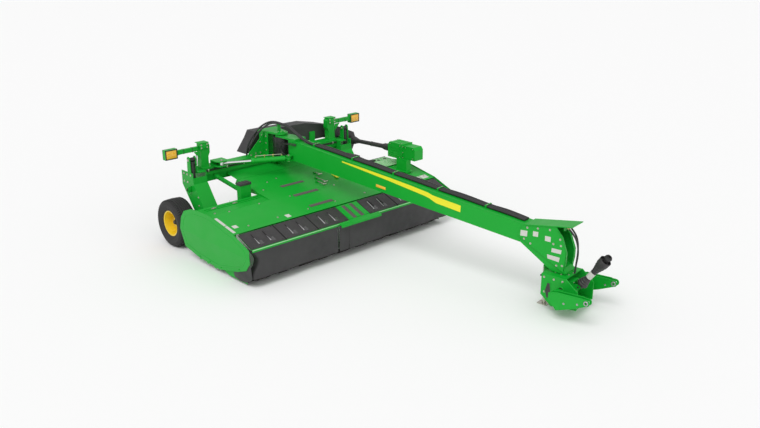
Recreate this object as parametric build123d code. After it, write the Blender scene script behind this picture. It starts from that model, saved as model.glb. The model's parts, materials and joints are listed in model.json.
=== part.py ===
from build123d import *
import math
import os

# Pulled disc mower conditioner, side-swinging tongue, 4 m of cut.
# Built in machine axes: +X is the machine's left, -Y is the way it travels, +Z is up.
# X = 0 is the middle of the header, Y = 0 its front lip, Z = 0 the ground.
# All sizes are millimetres. At the end everything is moved so that the origin
# lies on the ground under the middle of the machine's outer box.

# Running gaps
PIN_GAP = 0.3
SEAT_GAP = 0.3
SIDE_GAP = 8.0

# Header
HEADER_HALF = 2140.0
PANEL_SHEET = 5.0
PANEL_LEAN = 60.0
PANEL_FOLD_Z = 480.0
DECK_SHEET = 5.0
DECK_MIDDLE_HALF = HEADER_HALF - 1140
DECK_FRONT = (360.0, 760.0)
DECK_RISE = (1000.0, 890.0)
DECK_REAR_SIDE = (1330.0, 900.0)
DECK_REAR_MIDDLE = (1900.0, 1030.0)
DECK_LIP_DROP = 80.0
CHEEK_DROP = 60.0
LINK_NOTCH_HALF = 52.0
LINK_NOTCH_TOP = 1014.0
FRAME_SIDE_X = HEADER_HALF - 80
FRAME_PLATE = 8.0
FRAME_TUBE = 120.0
FRAME_TUBE_Y = 1200.0
FRAME_TUBE_WALL = 10.0

# Front doors, with their ribbed panels and curtains
DOOR_HINGE_Y = 345.0
DOOR_HINGE_Z = 730.0
DOOR_REAR_GAP = 25.0
DOOR_HINGE_R = 7.0
DOOR_SHEET = 4.0
DOOR_LIP_Y = -20.0
DOOR_LIP_Z = 612.0
DOOR_LIP_DROP = 36.0
DOOR_REAR_Z = 752.0
DOOR_END_X = HEADER_HALF - 60
DOOR_SPLIT_X = -226.0
CENTRE_HALF = 222.0
PANEL_COUNT = 3
PANEL_GAP = 8.0
PANEL_THICK = 12.0
RIB_HEIGHT = 14.0
RIB_WIDTH = 42.0
CURTAIN_SPLIT_X = -450.0
CURTAIN_THICK = 6.0
CURTAIN_BOTTOM = 150.0
CURTAIN_HANG = 8.0
CURTAIN_SIDE_Y = 120.0
BUMPER_END_X = 400.0
BUMPER_REACH = 70.0
BUMPER_DROP = 34.0
GRILLE_SLOT_IN = 40.0
GRILLE_SLOT_OUT = 120.0
GRILLE_THICK = 9.0

# Cutterbar and discs
DISC_COUNT = 10
DISC_END_MARGIN = 305.0
DISC_PITCH = 2 * (FRAME_SIDE_X - DISC_END_MARGIN) / (DISC_COUNT - 1)
DISC_Y = 300.0
BAR_LOW = 32.0
BAR_TOP = 84.0
BAR_HALF_DEPTH = 130.0
SKID_LOW = 24.0
DISC_LONG = DISC_PITCH / 2 - 5
DISC_SHORT = DISC_PITCH / 2 - 73
DISC_THICK = 8.0
DISC_DOME = 34.0
KNIFE_REACH = DISC_PITCH / 2 + 50
KNIFE_ROOT = DISC_LONG - 60
KNIFE_BOLT = DISC_LONG - 30
KNIFE_WIDTH = 46.0
KNIFE_THICK = 4.0
KNIFE_DROP = 12.0

# Impeller conditioner
ROTOR_Y = 900.0
ROTOR_Z = 430.0
ROTOR_TUBE_R = 90.0
BEARING_X = HEADER_HALF - 640
ROTOR_HALF = BEARING_X - 20
ROTOR_STUB_R = 25.0
TINE_REACH = 285.0
TINE_ROWS = 4
TINE_PER_ROW = 14
TINE_WIDE = 22.0
TINE_THICK = 9.0
TINE_SPREAD = 38.0
HOOD_R = 316.0
HOOD_SHEET = 5.0

# Swath board and forming shields
BOARD_HALF = BEARING_X - 500
BOARD_Y = 1278.0
BOARD_Z = 700.0
BOARD_LENGTH = 380.0
SHIELD_SHEET = 5.0
SHIELD_LOW = 210.0
SHIELD_TOP = 640.0

# Main frame
BEAM_FRONT = 2200.0
BEAM_DEPTH = 200.0
BEAM_LOW = 1000.0
BEAM_TOP = 1250.0
BEAM_STEP_Z = 1120.0
BEAM_STEP = 34.0
LEG_IN = HEADER_HALF - 710
BEAM_HALF = LEG_IN + 10
BEAM_WALL = 12.0
POST_IN = BEAM_HALF - 150
POST_OUT = BEAM_HALF
POST_TOP = 1650.0
LEG_PLATE = 12.0
ARM_X_IN = LEG_IN + 40
ARM_X_OUT = ARM_X_IN + 90
LIFT_X = ARM_X_OUT + 72
LEG_OUT = LIFT_X + 68

# Wheels and their lift arms
WHEEL_X = LEG_OUT + 185
WHEEL_R = 395.0
RIM_R = 205.0
ARM_PIVOT = (1880.0, 560.0)
WHEEL_AT = (2365.0, WHEEL_R)
ARM_PIN_R = 35.0
LIFT_TOP = (2200.0, 1430.0)
LIFT_FOOT = (2150.0, 470.0)
LIFT_BARREL_R = 38.0
LIFT_ROD_R = 20.0
LIFT_PIN_R = 16.0

# Tongue, in its own line: s runs forward from the pivot, offsets run to the left
PIVOT_Y = 1960.0
TONGUE_DEG = 6.6
TONGUE_HALF = 125.0
TONGUE_WALL = 10.0
TONGUE_START = 290.0
TONGUE_END = 4790.0
TONGUE_REAR_LOW = 1265.0
TONGUE_REAR_TOP = 1590.0
TONGUE_FRONT_LOW = 862.0
TONGUE_FRONT_TOP = 1122.0
HEAD_PLATE = 28.0
HEAD_R = 110.0
KING_R = 35.0
DRUM_R = 150.0
TOWER_PLATE = 30.0
TOWER_GAP = 12.0

# Swing cylinder
SWING_LUG_S = 350.0
SWING_LUG_OFF = -190.0
SWING_ANCHOR = (-1150.0, 2080.0)
SWING_Z = 1300.0
SWING_BARREL_R = 42.0
SWING_ROD_R = 22.0
SWING_PIN_R = 18.0
SWING_BARREL_LENGTH = 630.0
SWING_ROD_IN = 390.0

# Gooseneck and swivelling hitch
NECK_PLATE = 14.0
SWIVEL_S = 5420.0
SWIVEL_R = 55.0
HITCH_HALF = 240.0
HITCH_TOP = 548.0
HITCH_LOW = 110.0
HITCH_REAR = -205.0
HITCH_FRONT = 330.0
HITCH_PLATE = 16.0
LINK_HALF = 410.0
LINK_PIN_S = 560.0
LINK_PIN_Z = 393.0
LINK_PIN_R = 18.7
LINK_EAR_GAP = 52.0
LINK_EAR_PLATE = 14.0
LINK_EAR_R = 46.0
PTO_PIVOT_S = 250.0
PTO_PIVOT_Z = 400.0
PTO_DEG = 54.0
PTO_TUBE_R = 42.0
PTO_YOKE_BORE_R = 22.2
JACK_S = -262.0
JACK_TUBE_R = 38.0
JACK_LEG_R = 29.0
JACK_FOOT_HALF = 75.0
JACK_FOOT_THICK = 14.0


def prism_x(outline, x_low, x_high):
    """A (y, z) outline drawn out along X."""
    wire = Polyline(*[(x_low, y, z) for y, z in outline], close=True)
    return extrude(make_face(wire), amount=x_high - x_low, dir=(1, 0, 0))


def prism_y(outline, y_low, y_high):
    """An (x, z) outline drawn out along Y."""
    wire = Polyline(*[(x, y_low, z) for x, z in outline], close=True)
    return extrude(make_face(wire), amount=y_high - y_low, dir=(0, 1, 0))


def prism_z(outline, z_low, z_high):
    """An (x, y) outline drawn out along Z."""
    wire = Polyline(*[(x, y, z_low) for x, y in outline], close=True)
    return extrude(make_face(wire), amount=z_high - z_low, dir=(0, 0, 1))


def block(x_low, x_high, y_low, y_high, z_low, z_high):
    """A box between two corners."""
    size = (x_high - x_low, y_high - y_low, z_high - z_low)
    middle = ((x_low + x_high) / 2, (y_low + y_high) / 2, (z_low + z_high) / 2)
    return Pos(*middle) * Box(*size)


def rod(start, end, radius):
    """A round bar from one point to another."""
    axis = Vector(*end) - Vector(*start)
    return extrude(Plane(origin=start, z_dir=axis) * Circle(radius), axis.length)


def pipe(start, end, outer, inner):
    """A round tube from one point to another."""
    return rod(start, end, outer) - rod(start, end, inner)


def sheet_outline(line, thickness):
    """The closed outline of a folded sheet: the line is its outer face and the
    thickness lies to the right of the line's run."""
    normals = []
    for (a0, a1), (b0, b1) in zip(line[:-1], line[1:]):
        run = math.hypot(b0 - a0, b1 - a1)
        normals.append(((b1 - a1) / run, -(b0 - a0) / run))
    inner = []
    for index, (p0, p1) in enumerate(line):
        before = normals[max(index - 1, 0)]
        after = normals[min(index, len(normals) - 1)]
        share = 1 + before[0] * after[0] + before[1] * after[1]
        step0 = thickness * (before[0] + after[0]) / share
        step1 = thickness * (before[1] + after[1]) / share
        inner.append((p0 + step0, p1 + step1))
    return list(line) + inner[::-1]


def along(start, end, distance):
    """The point that lies a distance past start on the way to end, in a plane."""
    run = math.hypot(end[0] - start[0], end[1] - start[1])
    share = distance / run
    return (start[0] + (end[0] - start[0]) * share, start[1] + (end[1] - start[1]) * share)


def both_sides(shape):
    """A piece and its mirror image on the other side of the machine."""
    return [shape, mirror(shape, about=Plane.YZ)]


def together(pieces):
    """Separate pieces of one body that share a node."""
    return Part() + pieces


nodes = {}

# Deck: folded sheet over the cutterbar and the conditioner
middle_line = [
    DECK_FRONT,
    DECK_RISE,
    DECK_REAR_MIDDLE,
    (DECK_REAR_MIDDLE[0] + 50, DECK_REAR_MIDDLE[1] - DECK_LIP_DROP),
]
side_line = [
    DECK_FRONT,
    DECK_RISE,
    DECK_REAR_SIDE,
    (DECK_REAR_SIDE[0] + 40, DECK_REAR_SIDE[1] - DECK_LIP_DROP),
]
deck_end = HEADER_HALF - PANEL_SHEET
deck = prism_x(sheet_outline(middle_line, DECK_SHEET), -DECK_MIDDLE_HALF, DECK_MIDDLE_HALF)
for low, high in ((-deck_end, -DECK_MIDDLE_HALF), (DECK_MIDDLE_HALF, deck_end)):
    deck += prism_x(sheet_outline(side_line, DECK_SHEET), low, high)
# The middle rises over the conditioner, with a cheek on each side
deck_cheek = [
    (DECK_RISE[0], DECK_RISE[1] - DECK_SHEET + 1),
    DECK_REAR_MIDDLE,
    (DECK_REAR_MIDDLE[0] + 50, DECK_REAR_MIDDLE[1] - DECK_LIP_DROP),
    (DECK_REAR_MIDDLE[0] - 60, DECK_REAR_MIDDLE[1] - DECK_LIP_DROP - CHEEK_DROP),
    (DECK_REAR_SIDE[0], DECK_REAR_SIDE[1] - DECK_SHEET + 1),
]
for cheek in both_sides(prism_x(deck_cheek, DECK_MIDDLE_HALF - DECK_SHEET, DECK_MIDDLE_HALF)):
    deck += cheek
deck -= block(
    -LINK_NOTCH_HALF, LINK_NOTCH_HALF,
    DECK_REAR_MIDDLE[0] + 12, DECK_REAR_MIDDLE[0] + 60, 900, LINK_NOTCH_TOP,
)

# Grip strips to step on, bolted on the deck: where each starts, where it ends and how far back it lies
STRIP_RUNS = ((-539, -72, 1312), (-570, -75, 934), (-566, -99, 535))
STRIP_HALF = 31.0
STRIP_THICK = 6.0


def deck_height(y, rear=DECK_REAR_SIDE):
    """The deck's top face at a distance back from the front lip."""
    if y < DECK_RISE[0]:
        low, high = DECK_FRONT, DECK_RISE
    else:
        low, high = DECK_RISE, rear
    return low[1] + (y - low[0]) * (high[1] - low[1]) / (high[0] - low[0])


strips = []
for x_low, x_high, y in STRIP_RUNS:
    y_low = y - STRIP_HALF
    y_high = y + STRIP_HALF
    low_z = deck_height(y_low, DECK_REAR_MIDDLE) + SEAT_GAP
    high_z = deck_height(y_high, DECK_REAR_MIDDLE) + SEAT_GAP
    strip = [(y_low, low_z), (y_high, high_z), (y_high, high_z + STRIP_THICK), (y_low, low_z + STRIP_THICK)]
    strips.append(prism_x(strip, x_low, x_high))
nodes["grip_strips"] = together(strips)

# End panels: a pressed sheet, upright above the fold and leaning in below it
PANEL_REAR_FOOT = (1450.0, 110.0)
PANEL_FRONT_FOOT = (860.0, 62.0)
PANEL_LUGS = (1370.0, 1170.0, 970.0)
LUG_HALF = 24.0
LUG_DROP = 22.0


def panel_foot(y):
    """The height of the end panel's lower edge between its two feet."""
    rise = PANEL_REAR_FOOT[1] - PANEL_FRONT_FOOT[1]
    return PANEL_FRONT_FOOT[1] + (y - PANEL_FRONT_FOOT[0]) * rise / (PANEL_REAR_FOOT[0] - PANEL_FRONT_FOOT[0])


lug_points = []
for y in PANEL_LUGS:
    lug_points += [
        (y + LUG_HALF + 10, panel_foot(y + LUG_HALF + 10)),
        (y + LUG_HALF, panel_foot(y) - LUG_DROP),
        (y - LUG_HALF, panel_foot(y) - LUG_DROP),
        (y - LUG_HALF - 10, panel_foot(y - LUG_HALF - 10)),
    ]
panel_outline = [
    (1330, 902),
    (1480, 886),
    (1690, 806),
    (1790, 680),
    (1840, 490),
    (1780, 190),
    PANEL_REAR_FOOT,
    *lug_points,
    PANEL_FRONT_FOOT,
    (350, 180),
    (110, 270),
    (-20, 420),
    (-20, 622),
    (360, 772),
    (1000, 902),
]
panel_section = [
    (HEADER_HALF - PANEL_LEAN, 0),
    (HEADER_HALF, PANEL_FOLD_Z),
    (HEADER_HALF, 1000),
    (HEADER_HALF - PANEL_SHEET, 1000),
    (HEADER_HALF - PANEL_SHEET, PANEL_FOLD_Z),
    (HEADER_HALF - PANEL_LEAN - PANEL_SHEET, 0),
]
panel_block = prism_x(panel_outline, HEADER_HALF - 200, HEADER_HALF + 10)
end_panel = panel_block & prism_y(panel_section, -100, 1900)
nodes["end_panels"] = together(both_sides(end_panel))

LINK_LUG_Y = 1380.0

# Header frame: rear tube, outer side plates, bearing plates and the door hinge rail
tube_back = FRAME_TUBE_Y + FRAME_TUBE
tube_top = deck_height(FRAME_TUBE_Y) - DECK_SHEET - SEAT_GAP
FRAME_TUBE_Z = tube_top - FRAME_TUBE
header_frame = block(
    -FRAME_SIDE_X, FRAME_SIDE_X, FRAME_TUBE_Y, tube_back, FRAME_TUBE_Z, tube_top
) - block(
    -FRAME_SIDE_X, FRAME_SIDE_X,
    FRAME_TUBE_Y + FRAME_TUBE_WALL, tube_back - FRAME_TUBE_WALL,
    FRAME_TUBE_Z + FRAME_TUBE_WALL, tube_top - FRAME_TUBE_WALL,
)
side_plate_outline = [
    (tube_back, tube_top),
    (FRAME_TUBE_Y, tube_top),
    (1000, 800),
    (700, 520),
    (460, 200),
    (170, 120),
    (170, BAR_LOW),
    (620, BAR_LOW),
    (900, 120),
    (tube_back, 640),
]
bearing_outline = [
    (tube_back, tube_top),
    (FRAME_TUBE_Y, tube_top),
    (FRAME_TUBE_Y - 200, 780),
    (ROTOR_Y - 160, 560),
    (ROTOR_Y - 160, 330),
    (ROTOR_Y + 140, 330),
    (tube_back + 60, 520),
    (tube_back + 60, 700),
]
bearing_hole = rod(
    (BEARING_X - 1, ROTOR_Y, ROTOR_Z),
    (BEARING_X + FRAME_PLATE + 1, ROTOR_Y, ROTOR_Z),
    ROTOR_STUB_R + PIN_GAP,
)
bearing_plate = prism_x(bearing_outline, BEARING_X, BEARING_X + FRAME_PLATE) - bearing_hole
side_plate = prism_x(side_plate_outline, FRAME_SIDE_X, FRAME_SIDE_X + FRAME_PLATE)
link_lug = block(BEARING_X, BEARING_X + 120, LINK_LUG_Y - 40, LINK_LUG_Y, 545, 655)
for piece in both_sides(side_plate) + both_sides(bearing_plate) + both_sides(link_lug):
    header_frame += piece

# Cutterbar: a flat gear case with a skid under each disc
bar_outline = [
    (DISC_Y - BAR_HALF_DEPTH, BAR_LOW + 18),
    (DISC_Y - BAR_HALF_DEPTH + 30, BAR_LOW),
    (DISC_Y + BAR_HALF_DEPTH, BAR_LOW),
    (DISC_Y + BAR_HALF_DEPTH, BAR_TOP - 12),
    (DISC_Y + BAR_HALF_DEPTH - 30, BAR_TOP),
    (DISC_Y - BAR_HALF_DEPTH + 60, BAR_TOP),
]
cutterbar = prism_x(bar_outline, -FRAME_SIDE_X, FRAME_SIDE_X)
disc_places = [(index - (DISC_COUNT - 1) / 2) * DISC_PITCH for index in range(DISC_COUNT)]
for x in disc_places:
    skid = sheet_outline(
        [
            (DISC_Y - BAR_HALF_DEPTH - 26, BAR_LOW + 34),
            (DISC_Y - BAR_HALF_DEPTH + 20, SKID_LOW),
            (DISC_Y + BAR_HALF_DEPTH + 120, SKID_LOW),
            (DISC_Y + BAR_HALF_DEPTH + 160, SKID_LOW + 26),
        ],
        SKID_LOW - BAR_LOW,
    )
    cutterbar += prism_x(skid, x - 110, x + 110)
nodes["cutterbar"] = cutterbar

# Cutting discs: an oval disc with a dome, and two knives bolted under its ends
DISC_LOW = BAR_TOP + 16
turn_step = 90.0
for index, x in enumerate(disc_places):
    disc = extrude(Ellipse(DISC_LONG, DISC_SHORT), DISC_THICK)
    dome = loft([Circle(DISC_SHORT - 27), Pos(0, 0, DISC_DOME) * Circle(DISC_SHORT - 64)])
    disc += Pos(0, 0, DISC_THICK) * dome
    disc += Pos(0, 0, -16 + SEAT_GAP) * extrude(Circle(48), 16 - SEAT_GAP)
    for side in (-1, 1):
        knife = Pos(side * (KNIFE_REACH + KNIFE_ROOT) / 2, 0, -KNIFE_DROP + KNIFE_THICK / 2) * Box(
            KNIFE_REACH - KNIFE_ROOT, KNIFE_WIDTH, KNIFE_THICK
        )
        bolt = Pos(side * KNIFE_BOLT, 0, -KNIFE_DROP) * extrude(Circle(12), KNIFE_DROP)
        disc += knife + bolt
    turned = Pos(x, DISC_Y, DISC_LOW) * Rot(0, 0, turn_step * (index % 2)) * disc
    nodes[f"cutting_disc_{index + 1}"] = turned

# Impeller rotor: a tube with rows of V tines, each row turned on from the last
rotor = pipe((-ROTOR_HALF, 0, 0), (ROTOR_HALF, 0, 0), ROTOR_TUBE_R, ROTOR_TUBE_R - 10)
for side in (-1, 1):
    rotor += rod((side * (ROTOR_HALF - 12), 0, 0), (side * ROTOR_HALF, 0, 0), ROTOR_TUBE_R)
    rotor += rod((side * ROTOR_HALF, 0, 0), (side * (BEARING_X + 14), 0, 0), ROTOR_STUB_R)
tine_start = ROTOR_TUBE_R - 4
tine_margin = 135.0
tine_pitch = 2 * (ROTOR_HALF - tine_margin) / (TINE_PER_ROW - 1)
tine_legs = []
for side in (-1, 1):
    leg_outline = [
        (side * 4 - TINE_THICK, tine_start),
        (side * 4 + TINE_THICK, tine_start),
        (side * TINE_SPREAD + TINE_THICK / 2, TINE_REACH),
        (side * TINE_SPREAD - TINE_THICK / 2, TINE_REACH),
    ]
    tine_legs.append(prism_y(leg_outline, -TINE_WIDE / 2, TINE_WIDE / 2))
tine = tine_legs[0] + tine_legs[1]
tines = []
for row in range(TINE_ROWS):
    for place in range(TINE_PER_ROW):
        x = -ROTOR_HALF + tine_margin + place * tine_pitch + (row - 1.5) * tine_pitch / TINE_ROWS
        turn = row * 360 / TINE_ROWS + place * 90 / TINE_PER_ROW
        tines.append(Rot(turn, 0, 0) * Pos(x, 0, 0) * tine)
rotor = rotor.fuse(*tines)
nodes["impeller_rotor"] = Pos(0, ROTOR_Y, ROTOR_Z) * rotor

# Impeller hood: an arc over the rotor and a plate that leads back to the swath board
hood_half = BEARING_X - PIN_GAP
ring = pipe((-hood_half, ROTOR_Y, ROTOR_Z), (hood_half, ROTOR_Y, ROTOR_Z), HOOD_R, HOOD_R - HOOD_SHEET)
reach = HOOD_R * 2
arc_low, arc_high = math.radians(62), math.radians(152)
wedge = [
    (ROTOR_Y, ROTOR_Z),
    (ROTOR_Y + reach * math.cos(arc_low), ROTOR_Z + reach * math.sin(arc_low)),
    (ROTOR_Y, ROTOR_Z + 2 * reach),
    (ROTOR_Y + reach * math.cos(arc_high), ROTOR_Z + reach * math.sin(arc_high)),
]
hood = ring & prism_x(wedge, -hood_half, hood_half)
hood_end = (ROTOR_Y + HOOD_R * math.cos(arc_low), ROTOR_Z + HOOD_R * math.sin(arc_low))
hood_tail = along(hood_end, (hood_end[0] + math.sin(arc_low), hood_end[1] - math.cos(arc_low)), 190)
hood_back = sheet_outline([hood_end, hood_tail], HOOD_SHEET)
hood += prism_x(hood_back, -hood_half, hood_half)
nodes["impeller_hood"] = hood

# Swath board on its own hinge tube under the rear tube
board = prism_x(
    [
        (BOARD_Y + 8, BOARD_Z - 3),
        (BOARD_Y + 8, BOARD_Z + 3),
        (BOARD_Y + BOARD_LENGTH * 0.6, BOARD_Z - 50),
        (BOARD_Y + BOARD_LENGTH, BOARD_Z - 130),
        (BOARD_Y + BOARD_LENGTH - 3, BOARD_Z - 136),
        (BOARD_Y + BOARD_LENGTH * 0.6, BOARD_Z - 56),
    ],
    -BOARD_HALF, BOARD_HALF,
)
board += rod((-BOARD_HALF, BOARD_Y, BOARD_Z), (BOARD_HALF, BOARD_Y, BOARD_Z), 14)
for side in (-1, 1):
    board += rod(
        (side * BOARD_HALF, BOARD_Y, BOARD_Z), (side * (BOARD_HALF + 30), BOARD_Y, BOARD_Z), 9
    )
nodes["swath_board"] = board
ear_outline = [
    (BOARD_Y - 40, FRAME_TUBE_Z),
    (BOARD_Y - 22, BOARD_Z - 24),
    (BOARD_Y + 22, BOARD_Z - 24),
    (BOARD_Y + 40, FRAME_TUBE_Z),
]
for side in (-1, 1):
    inner = side * (BOARD_HALF + 12)
    outer = side * (BOARD_HALF + 22)
    ear = prism_x(ear_outline, min(inner, outer), max(inner, outer))
    ear -= rod((inner - side * 5, BOARD_Y, BOARD_Z), (outer + side * 5, BOARD_Y, BOARD_Z), 9 + PIN_GAP)
    header_frame += ear
nodes["header_frame"] = header_frame

# Forming shields: two upright sheets that close in behind the conditioner, each on an arm
shield_plan = sheet_outline(
    [
        (BEARING_X - 60, tube_back + 20),
        (BEARING_X - 110, 1640),
        (BEARING_X - 320, 1860),
        (BEARING_X - 450, 2060),
    ],
    SHIELD_SHEET,
)
shield = prism_z(shield_plan, SHIELD_LOW, SHIELD_TOP)
shield_arm = prism_x(
    [
        (tube_back + SEAT_GAP, FRAME_TUBE_Z + 20),
        (tube_back + SEAT_GAP, tube_top - 80),
        (1500, tube_top - 110),
        (1760, SHIELD_TOP - 20),
        (1760, SHIELD_TOP - 80),
        (1500, FRAME_TUBE_Z - 40),
    ],
    BEARING_X - 200, BEARING_X - 190,
)
shield += shield_arm
nodes["forming_shields"] = together(both_sides(shield))


# Front doors
def door_slope(y):
    """The height of the door's top sheet at a distance back from the lip."""
    share = (y - DOOR_LIP_Y) / (door_rear_y - DOOR_LIP_Y)
    return DOOR_LIP_Z + share * (DOOR_REAR_Z - DOOR_LIP_Z)


door_rear_y = DECK_FRONT[0] - DOOR_REAR_GAP
door_line = [
    (DOOR_LIP_Y, DOOR_LIP_Z - DOOR_LIP_DROP),
    (DOOR_LIP_Y, DOOR_LIP_Z),
    (door_rear_y, DOOR_REAR_Z),
]
door_outline = sheet_outline(door_line, DOOR_SHEET)
panel_width = (DOOR_END_X - CENTRE_HALF - PANEL_GAP * PANEL_COUNT) / PANEL_COUNT


def door_panels(side):
    """The ribbed plastic panels on one side of the centre strip."""
    panels = []
    front_y = DOOR_LIP_Y + 14
    back_y = door_rear_y - 16
    for place in range(PANEL_COUNT):
        low = CENTRE_HALF + PANEL_GAP + place * (panel_width + PANEL_GAP)
        high = low + panel_width
        base = [
            (front_y, door_slope(front_y)),
            (back_y, door_slope(back_y)),
            (back_y, door_slope(back_y) + PANEL_THICK),
            (front_y, door_slope(front_y) + PANEL_THICK),
        ]
        x_low, x_high = sorted((side * low, side * high))
        panel = prism_x(base, x_low, x_high)
        for share in (0.3, 0.64):
            rib_x = low + share * panel_width
            rib = [
                (front_y + 60, door_slope(front_y + 60) + PANEL_THICK),
                (back_y - 50, door_slope(back_y - 50) + PANEL_THICK),
                (back_y - 70, door_slope(back_y - 70) + PANEL_THICK + RIB_HEIGHT),
                (front_y + 80, door_slope(front_y + 80) + PANEL_THICK + RIB_HEIGHT),
            ]
            r_low, r_high = sorted((side * rib_x, side * (rib_x + RIB_WIDTH)))
            panel += prism_x(rib, r_low, r_high)
        panels.append(panel)
    return together(panels)


def curtain(x_low, x_high, front_y, end_side):
    """A hanging rubber curtain, with its return along the end of the header."""
    back_top = DOOR_LIP_Z - CURTAIN_HANG
    front = block(x_low, x_high, front_y, front_y + CURTAIN_THICK, CURTAIN_BOTTOM, back_top)
    if end_side == 0:
        return front
    x_end = x_low if end_side < 0 else x_high - CURTAIN_THICK
    side_piece = prism_x(
        [
            (front_y, CURTAIN_BOTTOM),
            (front_y, back_top),
            (CURTAIN_SIDE_Y, back_top),
            (CURTAIN_SIDE_Y, CURTAIN_BOTTOM + 30),
        ],
        x_end, x_end + CURTAIN_THICK,
    )
    return front + side_piece


HINGE_EAR = 8.0
HINGE_EAR_R = 13.0
HINGE_PIN_OVER = 14.0


def hinge_knuckles(spans):
    """Pins and their webs under the rear edge of a door."""
    web = [
        (DOOR_HINGE_Y - DOOR_HINGE_R, DOOR_HINGE_Z),
        (DOOR_HINGE_Y + DOOR_HINGE_R, DOOR_HINGE_Z),
        (door_rear_y - 2, door_slope(door_rear_y - 2) - 2),
        (door_rear_y - 22, door_slope(door_rear_y - 22) - 2),
    ]
    knuckles = []
    for low, high in spans:
        knuckles.append(rod(
            (low - HINGE_PIN_OVER, DOOR_HINGE_Y, DOOR_HINGE_Z),
            (high + HINGE_PIN_OVER, DOOR_HINGE_Y, DOOR_HINGE_Z),
            DOOR_HINGE_R,
        ))
        knuckles.append(prism_x(web, low, high))
    return knuckles


end_hinge = (DOOR_END_X - 160, DOOR_END_X - 80)
mid_hinge = (DOOR_END_X / 2 + 80, DOOR_END_X / 2 + 160)
right_spans = [(-end_hinge[1], -end_hinge[0]), (-mid_hinge[1], -mid_hinge[0]), (-380, -300)]
left_spans = [(-190, -110), (340, 420), mid_hinge, end_hinge]
right_door = prism_x(door_outline, -DOOR_END_X, DOOR_SPLIT_X - 2) + hinge_knuckles(right_spans)
left_door = prism_x(door_outline, DOOR_SPLIT_X + 2, DOOR_END_X) + hinge_knuckles(left_spans)

# Hinge ears under the deck's front edge, one at each end of a pin
ear_top_y = DECK_FRONT[0] + 60
hinge_ear = [
    (DOOR_HINGE_Y, DOOR_HINGE_Z - HINGE_EAR_R),
    (ear_top_y, deck_height(ear_top_y) - 2),
    (ear_top_y - 36, deck_height(ear_top_y - 36) - 2),
    (DECK_FRONT[0] + 14, DOOR_HINGE_Z + HINGE_EAR_R),
    (DOOR_HINGE_Y, DOOR_HINGE_Z + HINGE_EAR_R),
]
for low, high in right_spans + left_spans:
    for x_low in (low - 3 - HINGE_EAR, high + 3):
        x_high = x_low + HINGE_EAR
        ear = prism_x(hinge_ear, x_low, x_high)
        ear += rod((x_low, DOOR_HINGE_Y, DOOR_HINGE_Z), (x_high, DOOR_HINGE_Y, DOOR_HINGE_Z), HINGE_EAR_R)
        deck += ear - rod(
            (x_low - 1, DOOR_HINGE_Y, DOOR_HINGE_Z), (x_high + 1, DOOR_HINGE_Y, DOOR_HINGE_Z),
            DOOR_HINGE_R + PIN_GAP,
        )
nodes["header_deck"] = deck
# Folded bumper along the middle of the lip, in two runs, and the slotted strip between the panels
bumper_line = [
    (DOOR_LIP_Y - BUMPER_REACH, DOOR_LIP_Z - 16 - BUMPER_DROP),
    (DOOR_LIP_Y - BUMPER_REACH, DOOR_LIP_Z - 16),
    (DOOR_LIP_Y + 10, door_slope(DOOR_LIP_Y + 10) + 2),
]
bumper = sheet_outline(bumper_line, DOOR_SHEET)
right_door += prism_x(bumper, CURTAIN_SPLIT_X, DOOR_SPLIT_X - 2)
left_door += prism_x(bumper, DOOR_SPLIT_X + 2, BUMPER_END_X)
grille_front = DOOR_LIP_Y + 30
grille_rear = door_rear_y - 16
grille_section = [
    (grille_front, door_slope(grille_front) - 1),
    (grille_rear, door_slope(grille_rear) - 1),
    (grille_rear, door_slope(grille_rear) + GRILLE_THICK),
    (grille_front, door_slope(grille_front) + GRILLE_THICK),
]
grille_spans = (
    (DOOR_SPLIT_X + 8, -GRILLE_SLOT_OUT),
    (-GRILLE_SLOT_IN, GRILLE_SLOT_IN),
    (GRILLE_SLOT_OUT, CENTRE_HALF - 6),
)
for low, high in grille_spans:
    left_door += prism_x(grille_section, low, high)
nodes["front_door_right"] = right_door
nodes["front_door_left"] = left_door
nodes["door_panels_right"] = door_panels(-1)
nodes["door_panels_left"] = door_panels(1)
curtain_y = DOOR_LIP_Y + DOOR_SHEET + SEAT_GAP
nodes["curtain_right"] = together([
    curtain(-DOOR_END_X + 10, CURTAIN_SPLIT_X - 3, curtain_y, -1),
    curtain(CURTAIN_SPLIT_X + 3, DOOR_SPLIT_X - 3, curtain_y, 0),
])
nodes["curtain_left"] = curtain(DOOR_SPLIT_X + 3, DOOR_END_X - 10, curtain_y, 1)

# Drive box on the header's left end: two gear covers on a pedestal that stands on the deck
DRIVE_OUT = HEADER_HALF - 90
DRIVE_IN = DRIVE_OUT - 250
DRIVE_LOW = 1050.0
DRIVE_TOP = 1325.0
DRIVE_FRONT = 550.0
DRIVE_REAR = 1200.0
rear_cover = [
    (845, DRIVE_LOW),
    (845, DRIVE_TOP - 25),
    (870, DRIVE_TOP),
    (DRIVE_REAR - 40, DRIVE_TOP),
    (DRIVE_REAR, DRIVE_TOP - 50),
    (DRIVE_REAR, DRIVE_LOW),
]
front_cover = [
    (DRIVE_FRONT, DRIVE_LOW + 20),
    (DRIVE_FRONT, DRIVE_TOP - 70),
    (DRIVE_FRONT + 40, DRIVE_TOP - 20),
    (845, DRIVE_TOP - 20),
    (845, DRIVE_LOW + 20),
]
pedestal = [
    (690, deck_height(690)),
    (690, DRIVE_LOW + 20),
    (940, DRIVE_LOW + 20),
    (940, deck_height(940)),
]
drive_box = prism_x(rear_cover, DRIVE_IN, DRIVE_OUT)
drive_box += prism_x(front_cover, DRIVE_IN + 20, DRIVE_OUT - 20)
drive_box += prism_x(pedestal, DRIVE_IN - 40, DRIVE_IN + 70)
nodes["drive_box"] = drive_box

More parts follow.
